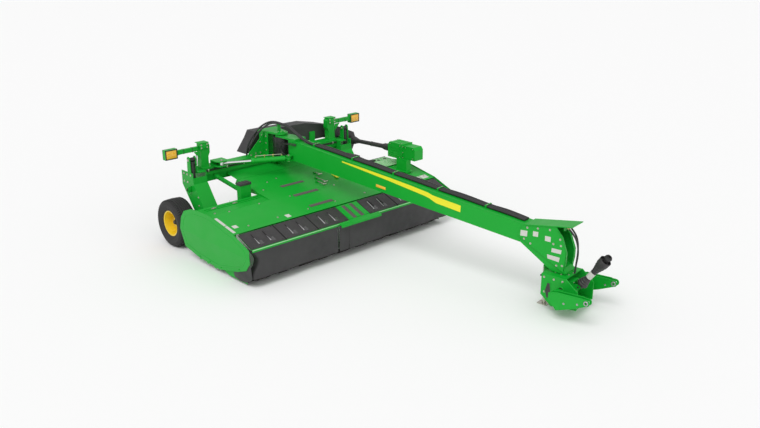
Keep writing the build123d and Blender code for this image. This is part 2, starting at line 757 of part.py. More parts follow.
# Step plate behind the drive box, on two ribs that follow the deck
STEP_OUT = HEADER_HALF - 70
STEP_IN = STEP_OUT - 450
STEP_FRONT = 1070.0
STEP_REAR = 1560.0
STEP_TOP = 918.0
STEP_SHEET = 12.0
step_rib_back = DECK_REAR_SIDE[0] - 6
step_rib = [
    (STEP_FRONT, deck_height(STEP_FRONT)),
    (step_rib_back, deck_height(step_rib_back)),
    (step_rib_back, STEP_TOP),
    (STEP_FRONT, STEP_TOP),
]
step = block(STEP_IN, STEP_OUT, STEP_FRONT, STEP_REAR, STEP_TOP - STEP_SHEET, STEP_TOP)
step += prism_x(step_rib, STEP_IN, STEP_IN + STEP_SHEET)
step += prism_x(step_rib, STEP_OUT - STEP_SHEET, STEP_OUT)
nodes["step_plate"] = step

# Main frame: a stepped box beam, the posts on it and the legs down to the header
beam_back = BEAM_FRONT + BEAM_DEPTH
beam_outline = [
    (BEAM_FRONT, BEAM_STEP_Z),
    (BEAM_FRONT, BEAM_TOP),
    (beam_back, BEAM_TOP),
    (beam_back, BEAM_LOW),
    (BEAM_FRONT + BEAM_STEP, BEAM_LOW),
    (BEAM_FRONT + BEAM_STEP, BEAM_STEP_Z),
]
beam_hollow = [
    (BEAM_FRONT + BEAM_STEP + BEAM_WALL, BEAM_LOW + BEAM_WALL),
    (beam_back - BEAM_WALL, BEAM_LOW + BEAM_WALL),
    (beam_back - BEAM_WALL, BEAM_TOP - BEAM_WALL),
    (BEAM_FRONT + BEAM_STEP + BEAM_WALL, BEAM_TOP - BEAM_WALL),
]
beam = prism_x(beam_outline, -BEAM_HALF, BEAM_HALF) - prism_x(beam_hollow, -BEAM_HALF, BEAM_HALF)
END_CAP = 10.0
for cap in both_sides(prism_x(beam_outline, BEAM_HALF - END_CAP, BEAM_HALF)):
    beam += cap
post_outline = [
    (POST_IN, BEAM_TOP),
    (POST_IN, 1420),
    (POST_IN - 30, 1480),
    (POST_IN - 30, POST_TOP - 40),
    (POST_IN + 10, POST_TOP),
    (POST_OUT - 10, POST_TOP),
    (POST_OUT - 10, 1400),
    (POST_OUT, BEAM_TOP),
]
post = prism_y(post_outline, BEAM_FRONT + 40, BEAM_FRONT + 150)
LAMP_IN = POST_OUT + 406
LAMP_OUT = LAMP_IN + 214
lamp_arm = block(POST_OUT - 10, LAMP_IN, BEAM_FRONT + 70, BEAM_FRONT + 120, 1530, 1600)
post += lamp_arm
for piece in both_sides(post):
    beam += piece

leg_front = [
    (ARM_PIVOT[0] - 90, ARM_PIVOT[1] - 60),
    (ARM_PIVOT[0] - 90, ARM_PIVOT[1] + 100),
    (BEAM_FRONT - 128, BEAM_LOW + 50),
    (BEAM_FRONT - 112, BEAM_LOW + 150),
]
leg_outline = [
    (beam_back + 20, BEAM_TOP - 20),
    (beam_back + 20, BEAM_LOW),
    (ARM_PIVOT[0] + 160, ARM_PIVOT[1] - 40),
    (ARM_PIVOT[0] + 70, ARM_PIVOT[1] - 100),
    (ARM_PIVOT[0] - 60, ARM_PIVOT[1] - 100),
    *leg_front,
    (BEAM_FRONT - 112, BEAM_TOP - 20),
]
leg_inner = prism_x(leg_outline, LEG_IN + 12, LEG_IN + 12 + LEG_PLATE)
leg_outer = prism_x(leg_outline, LEG_OUT - LEG_PLATE, LEG_OUT)
leg_face = prism_x(
    sheet_outline(leg_front, LEG_PLATE),
    LEG_IN + 12, LEG_OUT,
)
limb_outline = [
    (2150, 1200),
    (2250, 1200),
    (2240, LIFT_TOP[1] + 30),
    (2215, LIFT_TOP[1] + 55),
    (2180, LIFT_TOP[1] + 55),
    (2160, LIFT_TOP[1] + 20),
]
limb_in = prism_x(limb_outline, LIFT_X - 62, LIFT_X - 50)
limb_out = prism_x(limb_outline, LIFT_X + 50, LIFT_X + 62)
arm_hole = rod(
    (LEG_IN, *ARM_PIVOT), (LEG_OUT + 10, *ARM_PIVOT), ARM_PIN_R + PIN_GAP
)
leg = leg_inner + leg_outer + leg_face + limb_out
leg += block(LEG_IN + 12, LIFT_X - 50, BEAM_FRONT - 112, beam_back + 20, BEAM_TOP - 32, BEAM_TOP - 20)
leg += limb_in
leg -= arm_hole
leg -= rod((LIFT_X - 70, *LIFT_TOP), (LIFT_X + 70, *LIFT_TOP), LIFT_PIN_R + PIN_GAP)
nodes["frame_legs"] = together(both_sides(leg))

# Pivot tower: lower and upper plates that hold the tongue's king pins
head_top = TONGUE_REAR_TOP + HEAD_PLATE
head_low = TONGUE_REAR_LOW - HEAD_PLATE
tower_top = head_top + TOWER_GAP
tower_low = head_low - TOWER_GAP


def nose_plate(z_low, back_y, half_back):
    """A flat plate with a round nose at the tongue's pivot."""
    body = prism_z(
        [
            (-HEAD_R, PIVOT_Y),
            (HEAD_R, PIVOT_Y),
            (half_back, back_y),
            (-half_back, back_y),
        ],
        z_low, z_low + TOWER_PLATE,
    )
    nose = Pos(0, PIVOT_Y, z_low) * extrude(Circle(HEAD_R), TOWER_PLATE)
    bore = Pos(0, PIVOT_Y, z_low - 1) * extrude(Circle(KING_R + PIN_GAP), TOWER_PLATE + 2)
    return body + nose - bore


tower = nose_plate(tower_top, beam_back - 20, 190)
tower += nose_plate(tower_low - TOWER_PLATE, BEAM_FRONT, 190)
for side in (-1, 1):
    cheek_low, cheek_high = sorted((side * 150, side * 166))
    tower += block(cheek_low, cheek_high, BEAM_FRONT - 60, beam_back - 20, BEAM_TOP, tower_top)
wing = prism_y(
    [
        (-530, BEAM_TOP),
        (-530, BEAM_TOP + 26),
        (-190, tower_top - 30),
        (-190, tower_top),
        (190, tower_top),
        (190, tower_top - 30),
        (530, BEAM_TOP + 26),
        (530, BEAM_TOP),
    ],
    BEAM_FRONT + 40, BEAM_FRONT + 55,
)
tower += wing

# Swing cylinder anchor on the beam: two flat ears with the rod's eye between them
anchor_ear = [
    (SWING_ANCHOR[0] - 104, BEAM_FRONT + 60),
    (SWING_ANCHOR[0] - 104, SWING_ANCHOR[1] + 20),
    (SWING_ANCHOR[0] - 60, SWING_ANCHOR[1] - 60),
    (SWING_ANCHOR[0] + 60, SWING_ANCHOR[1] - 60),
    (SWING_ANCHOR[0] + 120, SWING_ANCHOR[1] + 20),
    (SWING_ANCHOR[0] + 120, BEAM_FRONT + 60),
]
eye_half = 24.0
anchor = prism_z(anchor_ear, SWING_Z - eye_half - SIDE_GAP - 14, SWING_Z - eye_half - SIDE_GAP)
anchor += prism_z(anchor_ear, SWING_Z + eye_half + SIDE_GAP, SWING_Z + eye_half + SIDE_GAP + 14)
anchor += block(
    SWING_ANCHOR[0] - 104, SWING_ANCHOR[0] + 120,
    BEAM_FRONT + 46, BEAM_FRONT + 60,
    BEAM_TOP, SWING_Z + eye_half + SIDE_GAP + 14,
)
beam += anchor

# Brackets behind the beam that carry the driveline shroud
SHROUD_FRONT = 2430.0
for x_low in (180, 980):
    beam += block(x_low, x_low + 110, beam_back - 2, SHROUD_FRONT - SEAT_GAP, 1100, 1420)

# Rear driveline: a folded shroud from the pivot to the left end, with its gearbox
shroud_outline = [
    (-440, 1262),
    (-270, 1490),
    (-200, 1610),
    (380, 1606),
    (DRIVE_IN - 900, 1596),
    (DRIVE_IN - 520, 1520),
    (DRIVE_IN - 80, 1400),
    (DRIVE_IN + 280, 1240),
    (DRIVE_IN + 335, 1090),
    (DRIVE_IN + 210, 850),
    (DRIVE_IN - 20, 900),
    (DRIVE_IN - 200, 1200),
    (DRIVE_IN - 500, 1262),
]
SHROUD_DEPTH = 260.0
shroud_block = prism_y(shroud_outline, SHROUD_FRONT, SHROUD_FRONT + SHROUD_DEPTH)
nodes["driveline_shroud"] = shroud_block

# Header drive shaft: a shielded shaft with a hub at the rear gearbox and one at the drive box
shaft_rear = (DRIVE_IN + 185, SHROUD_FRONT - SEAT_GAP, 1110.0)
shaft_front = (DRIVE_IN + 105, DRIVE_REAR + SEAT_GAP, 1180.0)
HUB_LENGTH = 70.0
rear_joint = (shaft_rear[0], shaft_rear[1] - HUB_LENGTH, shaft_rear[2])
front_joint = (shaft_front[0], shaft_front[1] + HUB_LENGTH, shaft_front[2])
drive_shaft = rod(rear_joint, front_joint, 38)
drive_shaft += rod(shaft_rear, rear_joint, 70)
drive_shaft += rod(front_joint, shaft_front, 56)
drive_shaft += Pos(*rear_joint) * Sphere(60) + Pos(*front_joint) * Sphere(50)
nodes["header_drive_shaft"] = drive_shaft


def strut(start, end, radius, foot):
    """A bar between two faces that look along Y, with a square foot on each face."""
    step_y = math.copysign(foot, end[1] - start[1])
    inner_start = (start[0], start[1] + step_y / 2, start[2])
    inner_end = (end[0], end[1] - step_y / 2, end[2])
    half = radius + 10
    bar = rod(inner_start, inner_end, radius)
    for point, face_y, back_y in ((start, start[1], start[1] + step_y), (end, end[1] - step_y, end[1])):
        y_low, y_high = sorted((face_y, back_y))
        bar += block(point[0] - half, point[0] + half, y_low, y_high, point[2] - half, point[2] + half)
    return bar


# Links that carry the header from the main frame: two lower, one upper, and the float springs
LINK_X = BEARING_X + 70
lower_link = strut((LINK_X, LINK_LUG_Y + SEAT_GAP, 600), (LINK_X, 1790 - SEAT_GAP, 585), 24, 30)
upper_link = strut((0, tube_back + SEAT_GAP, 800), (0, BEAM_FRONT + BEAM_STEP - SEAT_GAP, 1060), 24, 36)
nodes["header_links"] = together(both_sides(lower_link) + [upper_link])
tower_outline = [
    (tube_back + SEAT_GAP, FRAME_TUBE_Z + 15),
    (tube_back + SEAT_GAP, tube_top - 80),
    (1386, tube_top - 80),
    (1386, 1080),
    (1500, 1080),
    (1500, 790),
    (1440, FRAME_TUBE_Z + 15),
]
FLOAT_X = BEARING_X - 325
FLOAT_HALF = 95.0
float_tower = prism_x(tower_outline, FLOAT_X - FLOAT_HALF, FLOAT_X + FLOAT_HALF)
float_start = (FLOAT_X, 1500 + SEAT_GAP, 960)
float_end = (FLOAT_X, BEAM_FRONT + BEAM_STEP - SEAT_GAP, 1060)
float_strut = strut(float_start, float_end, 38, 24)
float_cap = block(FLOAT_X - FLOAT_HALF - 10, FLOAT_X + FLOAT_HALF + 10, 1376, 1510, 1080 + SEAT_GAP, 1124)
nodes["float_towers"] = together(both_sides(float_tower))
nodes["float_springs"] = together(both_sides(float_strut) + both_sides(float_cap))

# Lamps at the ends of the arms
LAMP_FRONT = BEAM_FRONT + 60
LAMP_BACK = BEAM_FRONT + 130
LAMP_LOW = 1480.0
LAMP_TOP = 1640.0
LENS_RIM = 18.0
LENS_THICK = 10.0
lamp = block(LAMP_IN, LAMP_OUT, LAMP_FRONT, LAMP_BACK, LAMP_LOW, LAMP_TOP)
lenses = []
for y_face in (LAMP_FRONT - SEAT_GAP - LENS_THICK, LAMP_BACK + SEAT_GAP):
    lenses += both_sides(block(
        LAMP_IN + LENS_RIM, LAMP_OUT - LENS_RIM, y_face, y_face + LENS_THICK,
        LAMP_LOW + LENS_RIM, LAMP_TOP - LENS_RIM,
    ))
nodes["lamp_boxes"] = together(both_sides(lamp))
nodes["lamp_lenses"] = together(lenses)

# Wheels, arms and lift cylinders
tyre_profile = [
    (RIM_R, -120),
    (RIM_R + 20, -150),
    (300, -165),
    (350, -150),
    (385, -120),
    (WHEEL_R, -60),
    (WHEEL_R, 60),
    (385, 120),
    (350, 150),
    (300, 165),
    (RIM_R + 20, 150),
    (RIM_R, 120),
]


def wheel_turned(profile):
    """A (radius, width) profile turned about the wheel's axle."""
    wire = Polyline(*[(0, radius, 0 + width) for radius, width in profile], close=True)
    solid = revolve(make_face(wire), Axis.Z)
    return Rot(0, 90, 0) * solid


tyre = wheel_turned(tyre_profile)
HUB_BORE_R = 40.0
spindle_r = HUB_BORE_R - PIN_GAP
rim_profile = [
    (RIM_R - PIN_GAP, -120),
    (RIM_R - PIN_GAP, 120),
    (RIM_R - 12, 120),
    (RIM_R - 25, 60),
    (RIM_R - 30, -20),
    (110, -10),
    (70, 30),
    (HUB_BORE_R, 30),
    (HUB_BORE_R, -40),
    (100, -40),
    (RIM_R - 30, -50),
    (RIM_R - 12, -120),
]
rim = wheel_turned(rim_profile)
for name, side in (("left", 1), ("right", -1)):
    turn = Rot(0, 0, 0) if side > 0 else Rot(0, 0, 180)
    place = Pos(side * WHEEL_X, *WHEEL_AT)
    nodes[f"tyre_{name}"] = place * turn * tyre
    nodes[f"rim_{name}"] = place * turn * rim

arm_line = [
    (ARM_PIVOT[0] - 20, ARM_PIVOT[1] + 60),
    (WHEEL_AT[0] - 20, WHEEL_AT[1] + 60),
    (WHEEL_AT[0] + 60, WHEEL_AT[1] + 20),
    (WHEEL_AT[0] + 60, WHEEL_AT[1] - 60),
    (WHEEL_AT[0] - 60, WHEEL_AT[1] - 60),
    (ARM_PIVOT[0] - 40, ARM_PIVOT[1] - 60),
    (ARM_PIVOT[0] - 70, ARM_PIVOT[1]),
]
arm = prism_x(arm_line, ARM_X_IN, ARM_X_OUT)
arm += rod((LEG_IN - 6, *ARM_PIVOT), (LEG_OUT + 12, *ARM_PIVOT), ARM_PIN_R)
arm += rod((ARM_X_OUT, *WHEEL_AT), (WHEEL_X + 30, *WHEEL_AT), spindle_r)
ear = prism_x(
    [
        (LIFT_FOOT[0] - 50, LIFT_FOOT[1] - 90),
        (LIFT_FOOT[0] - 45, LIFT_FOOT[1] + 30),
        (LIFT_FOOT[0] + 45, LIFT_FOOT[1] + 30),
        (LIFT_FOOT[0] + 50, LIFT_FOOT[1] - 90),
    ],
    ARM_X_OUT, LIFT_X + 46,
)
ear -= block(
    LIFT_X - 34, LIFT_X + 34, LIFT_FOOT[0] - 200, LIFT_FOOT[0] + 200, LIFT_FOOT[1] - 60, LIFT_FOOT[1] + 200
)
arm += ear
for name, piece in zip(("left", "right"), both_sides(arm)):
    nodes[f"wheel_arm_{name}"] = piece

lift_mid = along(LIFT_TOP, LIFT_FOOT, 560)
lift_barrel = rod((LIFT_X, *along(LIFT_TOP, LIFT_FOOT, 30)), (LIFT_X, *lift_mid), LIFT_BARREL_R)
lift_barrel -= rod(
    (LIFT_X, *along(LIFT_TOP, LIFT_FOOT, 60)), (LIFT_X, *along(LIFT_TOP, LIFT_FOOT, 561)),
    LIFT_ROD_R + PIN_GAP,
)
lift_barrel += rod((LIFT_X - 40, *LIFT_TOP), (LIFT_X + 40, *LIFT_TOP), 36)
lift_barrel += rod((LIFT_X - 62, *LIFT_TOP), (LIFT_X + 62, *LIFT_TOP), LIFT_PIN_R)
lift_rod = rod(
    (LIFT_X, *along(LIFT_TOP, LIFT_FOOT, 300)), (LIFT_X, *along(LIFT_FOOT, LIFT_TOP, 30)), LIFT_ROD_R
)
lift_rod += rod((LIFT_X - 26, *LIFT_FOOT), (LIFT_X + 26, *LIFT_FOOT), 34)
for name, piece in zip(("left", "right"), both_sides(lift_barrel)):
    nodes[f"lift_barrel_{name}"] = piece
for name, piece in zip(("left", "right"), both_sides(lift_rod)):
    nodes[f"lift_rod_{name}"] = piece


# Tongue group, built straight ahead of its pivot and then turned to its rest angle
def tongue_place(shape):
    """Move a piece from the tongue's own line to its place at rest."""
    return Pos(0, PIVOT_Y, 0) * Rot(0, 0, TONGUE_DEG) * shape


def ahead(outline):
    """An (s, z) outline turned to (y, z), with s running forward."""
    return [(-s, z) for s, z in outline]


tongue_outline = ahead([
    (TONGUE_START, TONGUE_REAR_LOW),
    (TONGUE_END, TONGUE_FRONT_LOW),
    (TONGUE_END + 60, TONGUE_FRONT_TOP),
    (TONGUE_START, TONGUE_REAR_TOP),
])
inner_outline = ahead([
    (TONGUE_START - 1, TONGUE_REAR_LOW + TONGUE_WALL),
    (TONGUE_END + 61, TONGUE_FRONT_LOW + TONGUE_WALL - 6),
    (TONGUE_END + 61, TONGUE_FRONT_TOP - TONGUE_WALL),
    (TONGUE_START - 1, TONGUE_REAR_TOP - TONGUE_WALL),
])
tongue = prism_x(tongue_outline, -TONGUE_HALF, TONGUE_HALF)
tongue -= prism_x(inner_outline, -TONGUE_HALF + TONGUE_WALL, TONGUE_HALF - TONGUE_WALL)
front_cap = ahead([
    (TONGUE_END - TONGUE_WALL, TONGUE_FRONT_LOW),
    (TONGUE_END, TONGUE_FRONT_LOW),
    (TONGUE_END + 60, TONGUE_FRONT_TOP),
    (TONGUE_END + 60 - TONGUE_WALL, TONGUE_FRONT_TOP),
])
tongue += prism_x(front_cap, -TONGUE_HALF + 1, TONGUE_HALF - 1)
head_outline = [
    (-HEAD_R, 0),
    (HEAD_R, 0),
    (TONGUE_HALF, -TONGUE_START),
    (TONGUE_HALF, -TONGUE_START - 160),
    (-TONGUE_HALF, -TONGUE_START - 160),
    (-TONGUE_HALF, -TONGUE_START),
]
for z_low, pin_low, pin_high in (
    (TONGUE_REAR_TOP, TONGUE_REAR_TOP, tower_top + TOWER_PLATE + 8),
    (head_low, tower_low - TOWER_PLATE - 8, TONGUE_REAR_LOW),
):
    tongue += prism_z(head_outline, z_low, z_low + HEAD_PLATE)
    tongue += block(
        -TONGUE_HALF, TONGUE_HALF, -TONGUE_START - 160, -TONGUE_START,
        min(z_low, TONGUE_REAR_TOP - 26), max(z_low + 4, TONGUE_REAR_LOW + 8),
    )
    tongue += Pos(0, 0, z_low) * extrude(Circle(HEAD_R), HEAD_PLATE)
    tongue += Pos(0, 0, pin_low) * extrude(Circle(KING_R), pin_high - pin_low)
lug_low = SWING_Z - eye_half - SIDE_GAP - 12
lug_high = SWING_Z + eye_half + SIDE_GAP
for z_low in (lug_low, lug_high):
    lug = block(SWING_LUG_OFF, -TONGUE_HALF, -SWING_LUG_S - 50, -SWING_LUG_S + 50, z_low, z_low + 12)
    lug += Pos(SWING_LUG_OFF, -SWING_LUG_S, z_low) * extrude(Circle(50), 12)
    lug -= Pos(SWING_LUG_OFF, -SWING_LUG_S, z_low - 1) * extrude(Circle(SWING_PIN_R + PIN_GAP), 14)
    tongue += lug
drum_height = TONGUE_REAR_TOP - TONGUE_REAR_LOW - 2 * SEAT_GAP
drum = Pos(0, 0, TONGUE_REAR_LOW + SEAT_GAP) * extrude(Circle(DRUM_R), drum_height)
nodes["pivot_drum"] = tongue_place(drum)

# Gooseneck: twin side plates, a top plate and the sloping lower beam to the swivel
neck_inner = TONGUE_HALF + SEAT_GAP
neck_outer = neck_inner + NECK_PLATE
NECK_TOP_START = (TONGUE_END + 66, TONGUE_FRONT_TOP + 4)
NECK_TOP_END = (5568.0, 1244.0)
NECK_TOP_SHEET = 12.0


def neck_top_height(s):
    """The underside of the gooseneck's top plate at a distance ahead of the pivot."""
    share = (s - NECK_TOP_START[0]) / (NECK_TOP_END[0] - NECK_TOP_START[0])
    return NECK_TOP_START[1] + share * (NECK_TOP_END[1] - NECK_TOP_START[1])


neck_outline = ahead([
    (4747, 962),
    (NECK_TOP_START[0] - 10, NECK_TOP_START[1]),
    (NECK_TOP_START[0], neck_top_height(NECK_TOP_START[0]) + 2),
    (5330, neck_top_height(5330) + 2),
    (5419, 1071),
    (5501, 863),
    (5500, 734),
    (5475, 590),
])
neck_top = ahead([
    NECK_TOP_START,
    NECK_TOP_END,
    (NECK_TOP_END[0], NECK_TOP_END[1] + NECK_TOP_SHEET),
    (NECK_TOP_START[0], NECK_TOP_START[1] + NECK_TOP_SHEET),
])
neck_foot = HITCH_TOP + TOWER_GAP
lower_beam = ahead([
    (TONGUE_END + 2, TONGUE_FRONT_LOW),
    (TONGUE_END + 26, 960),
    (5475, 640),
    (5510, neck_foot + 20),
    (5510, neck_foot),
    (5290, neck_foot),
])
neck = prism_x(neck_top, -neck_outer - 14, neck_outer + 14)
neck += prism_x(lower_beam, -neck_inner, neck_inner)
for side in (-1, 1):
    low, high = sorted((side * neck_inner, side * neck_outer))
    neck += prism_x(neck_outline, low, high)
neck += Pos(0, -SWIVEL_S, HITCH_LOW + 40) * extrude(Circle(SWIVEL_R), neck_foot + 10 - HITCH_LOW - 40)

# Hoses along the top of the tongue, held by clamps. Two of them rise over the pivot.
HOSE_R = 16.0
HOSE_PITCH = 2 * HOSE_R + 1
HOSE_COUNT = 4
HOSE_START = 720.0
HOSE_SEAT = HOSE_R + 1
HOSE_OFF = -20.0
ARCH_COUNT = 2
hose_slope = (TONGUE_FRONT_TOP - TONGUE_REAR_TOP) / (TONGUE_END + 60 - TONGUE_START)


def tongue_top(s):
    """The top face of the tongue at a distance ahead of the pivot."""
    return TONGUE_REAR_TOP + (s - TONGUE_START) * hose_slope


def hose(points, radius):
    """A hose of straight runs joined by arcs as large as its runs allow."""
    radii = []
    for before, corner, after in zip(points, points[1:], points[2:]):
        run_in = Vector(*corner) - Vector(*before)
        run_out = Vector(*after) - Vector(*corner)
        half_turn = math.radians(run_in.get_angle(run_out)) / 2
        radii.append(0.45 * min(run_in.length, run_out.length) / math.tan(half_turn))
    path = FilletPolyline(*points, radius=radii)
    made = sweep(Plane(origin=path @ 0, z_dir=path % 0) * Circle(radius), path=path)
    share = made.volume / (math.pi * radius**2 * path.length)
    print("hose", round(path.length), "smallest arc", round(min(radii)), "volume share", round(share, 4))
    return made


# Heights of the rise from the tongue to the pivot, by distance ahead of it
HOSE_RISE = ((15, 1800), (110, 1797), (215, 1762), (325, 1706), (445, 1647), (580, 1590))
hoses = []
for index in range(HOSE_COUNT):
    x = HOSE_OFF + index * HOSE_PITCH
    start = (x, -HOSE_START, tongue_top(HOSE_START) + HOSE_SEAT)
    end = (x, -TONGUE_END, tongue_top(TONGUE_END) + HOSE_SEAT)
    if index < ARCH_COUNT:
        hoses.append(hose([(x, -s, z) for s, z in HOSE_RISE] + [start, end], HOSE_R))
    else:
        hoses.append(rod(start, end, HOSE_R))
nodes["hose_run"] = tongue_place(together(hoses))

# Clamps over the hoses
CLAMP_PLACES = (800.0, 1640.0, 2480.0, 3320.0, 4160.0)
CLAMP_SHEET = 5.0
CLAMP_HALF = 14.0
for s in CLAMP_PLACES:
    low_x = HOSE_OFF - HOSE_R - 2
    high_x = HOSE_OFF + (HOSE_COUNT - 1) * HOSE_PITCH + HOSE_R + 2
    low_z = tongue_top(s) - 2
    high_z = tongue_top(s) + HOSE_SEAT + HOSE_R + 3
    clamp = block(
        low_x - CLAMP_SHEET, high_x + CLAMP_SHEET,
        -s - CLAMP_HALF, -s + CLAMP_HALF, low_z, high_z + CLAMP_SHEET,
    )
    clamp -= block(low_x, high_x, -s - CLAMP_HALF, -s + CLAMP_HALF, low_z, high_z)
    tongue += clamp
nodes["tongue_beam"] = tongue_place(tongue)

# The same two hoses from a saddle above the pivot down to the frame, behind the tower
ARCH_ROUTES = (
    (
        (-17, 1980, 1800), (-25, 2050, 1802), (-60, 2110, 1800), (-125, 2150, 1785), (-210, 2180, 1740),
        (-295, 2212, 1660), (-365, 2245, 1555), (-418, 2280, 1440), (-440, 2305, 1340), (-440, 2305, 1262),
    ),
    (
        (17, 1980, 1800), (14, 2060, 1806), (-20, 2130, 1814), (-85, 2180, 1812), (-180, 2215, 1778),
        (-280, 2245, 1710), (-370, 2272, 1610), (-440, 2300, 1490), (-480, 2325, 1375), (-480, 2325, 1262),
    ),
)
SADDLE_TOP = ARCH_ROUTES[0][0][2] - HOSE_R - SEAT_GAP
nodes["hose_arch"] = together([hose(route, HOSE_R) for route in ARCH_ROUTES])
tower += block(-30, 30, PIVOT_Y + 60, PIVOT_Y + 72, tower_top + TOWER_PLATE - 1, SADDLE_TOP - 6)
tower += block(-38, 38, PIVOT_Y + 46, PIVOT_Y + 86, SADDLE_TOP - 6, SADDLE_TOP)
for route in ARCH_ROUTES:
    foot = route[-1]
    beam += rod((foot[0], foot[1], BEAM_TOP - 1), (foot[0], foot[1], foot[2] - SEAT_GAP), HOSE_R + 4)
nodes["pivot_tower"] = tower
nodes["main_frame"] = beam

# Hoses that hang in front of the gooseneck, from a plate under its top: off, distance ahead and height
FRONT_HOSE_R = 12.0
FRONT_ROUTES = (
    (
        (-35, 5445, 1192), (-36, 5549, 1105), (-38, 5600, 1010), (-38, 5622, 900),
        (-35, 5618, 790), (-31, 5600, 690), (-28, 5590, 570),
    ),
    (
        (28, 5445, 1192), (28, 5535, 1110), (27, 5574, 1010), (26, 5588, 900),
        (27, 5585, 790), (29, 5574, 690), (30, 5570, 572),
    ),
)
front_hoses = [hose([(x, -s, z) for x, s, z in route], FRONT_HOSE_R) for route in FRONT_ROUTES]
nodes["front_hoses"] = tongue_place(together(front_hoses))
HOSE_PLATE_S = 5424.0
neck += block(-90, 90, -HOSE_PLATE_S, -HOSE_PLATE_S + 10, 1150, neck_top_height(HOSE_PLATE_S) + 4)
for route in FRONT_ROUTES:
    outlet = Vector(route[0][0], -route[0][1], route[0][2])
    back = (Vector(route[1][0], -route[1][1], route[1][2]) - outlet).normalized()
    neck += rod(tuple(outlet - back * 26), tuple(outlet - back * SEAT_GAP), FRONT_HOSE_R + 4)
nodes["gooseneck"] = tongue_place(neck)


def hitch_place(shape):
    """Move a piece from the swivel's own line to its place at rest."""
    return tongue_place(Pos(0, -SWIVEL_S, 0) * shape)


# Hitch frame: side plates, top and bottom plates round the swivel, and an arm to each link
HITCH_TOP_FRONT = 150.0
hitch_side = ahead([
    (HITCH_REAR, HITCH_TOP),
    (HITCH_TOP_FRONT, HITCH_TOP),
    (HITCH_FRONT, 400),
    (HITCH_FRONT, 150),
    (-40, HITCH_LOW),
    (HITCH_REAR, 250),
])
hitch = block(-HITCH_HALF, HITCH_HALF, -HITCH_TOP_FRONT, -HITCH_REAR, HITCH_TOP - HITCH_PLATE, HITCH_TOP)
hitch += block(-HITCH_HALF, HITCH_HALF, -HITCH_FRONT, 40, 150, 150 + HITCH_PLATE)
for side in (-1, 1):
    low, high = sorted((side * (HITCH_HALF - HITCH_PLATE), side * HITCH_HALF))
    hitch += prism_x(hitch_side, low, high)
sleeve = Pos(0, 0, 160) * extrude(Circle(SWIVEL_R + 22), HITCH_TOP - 162)
hitch += sleeve
hitch -= Pos(0, 0, 100) * extrude(Circle(SWIVEL_R + PIN_GAP), HITCH_TOP)
for side in (-1, 1):
    inner_ear = LINK_HALF - LINK_EAR_GAP / 2 - LINK_EAR_PLATE
    outer_ear = LINK_HALF + LINK_EAR_GAP / 2
    arm_outline = ahead([
        (20, 396),
        (140, 426),
        (LINK_PIN_S, 440),
        (LINK_PIN_S, 346),
        (350, 254),
        (140, 177),
        (20, 300),
    ])
    for inner in (inner_ear, outer_ear):
        low, high = sorted((side * inner, side * (inner + LINK_EAR_PLATE)))
        ear = prism_x(arm_outline, low, high)
        ear += rod((low, -LINK_PIN_S, LINK_PIN_Z), (high, -LINK_PIN_S, LINK_PIN_Z), LINK_EAR_R)
        ear -= rod((low - 1, -LINK_PIN_S, LINK_PIN_Z), (high + 1, -LINK_PIN_S, LINK_PIN_Z), LINK_PIN_R)
        hitch += ear
    low, high = sorted((side * (HITCH_HALF - HITCH_PLATE), side * (outer_ear + LINK_EAR_PLATE)))
    hitch += block(low, high, -140, -40, 300, 390)
# Input gearbox with two ears that hold the shaft's joint
GEARBOX_REAR = 90.0
GEARBOX_FRONT = 190.0
PTO_HUB_HALF = 44.0
hitch += block(-90, 90, -GEARBOX_FRONT, -GEARBOX_REAR, 160, 470)
for side in (-1, 1):
    low, high = sorted((side * (PTO_HUB_HALF + 4), side * (PTO_HUB_HALF + 16)))
    ear = block(low, high, -PTO_PIVOT_S, -GEARBOX_FRONT + 5, PTO_PIVOT_Z - 34, PTO_PIVOT_Z + 34)
    ear += rod((low, -PTO_PIVOT_S, PTO_PIVOT_Z), (high, -PTO_PIVOT_S, PTO_PIVOT_Z), 34)
    ear -= rod((low - 1, -PTO_PIVOT_S, PTO_PIVOT_Z), (high + 1, -PTO_PIVOT_S, PTO_PIVOT_Z), 14 + PIN_GAP)
    hitch += ear

# Input shaft: shielded tube with a yoke, tipped up on its holder
pto_turn = Pos(0, -PTO_PIVOT_S, PTO_PIVOT_Z) * Rot(-PTO_DEG, 0, 0)
pto = rod((-PTO_HUB_HALF, 0, 0), (PTO_HUB_HALF, 0, 0), 42)
pto += rod((-PTO_HUB_HALF - 18, 0, 0), (PTO_HUB_HALF + 18, 0, 0), 14)
pto += rod((0, 0, 0), (0, -90, 0), 34)
pto += rod((0, -80, 0), (0, -480, 0), PTO_TUBE_R)
pto += rod((0, -470, 0), (0, -530, 0), 60)
YOKE_START = 530.0 + SEAT_GAP
YOKE_END = 640.0
yoke = rod((0, -YOKE_START, 0), (0, -YOKE_END, 0), 38)
yoke -= rod((0, -YOKE_START - 20, 0), (0, -YOKE_END - 1, 0), PTO_YOKE_BORE_R)
nodes["pto_shaft"] = hitch_place(pto_turn * pto)
nodes["pto_yoke"] = hitch_place(pto_turn * yoke)

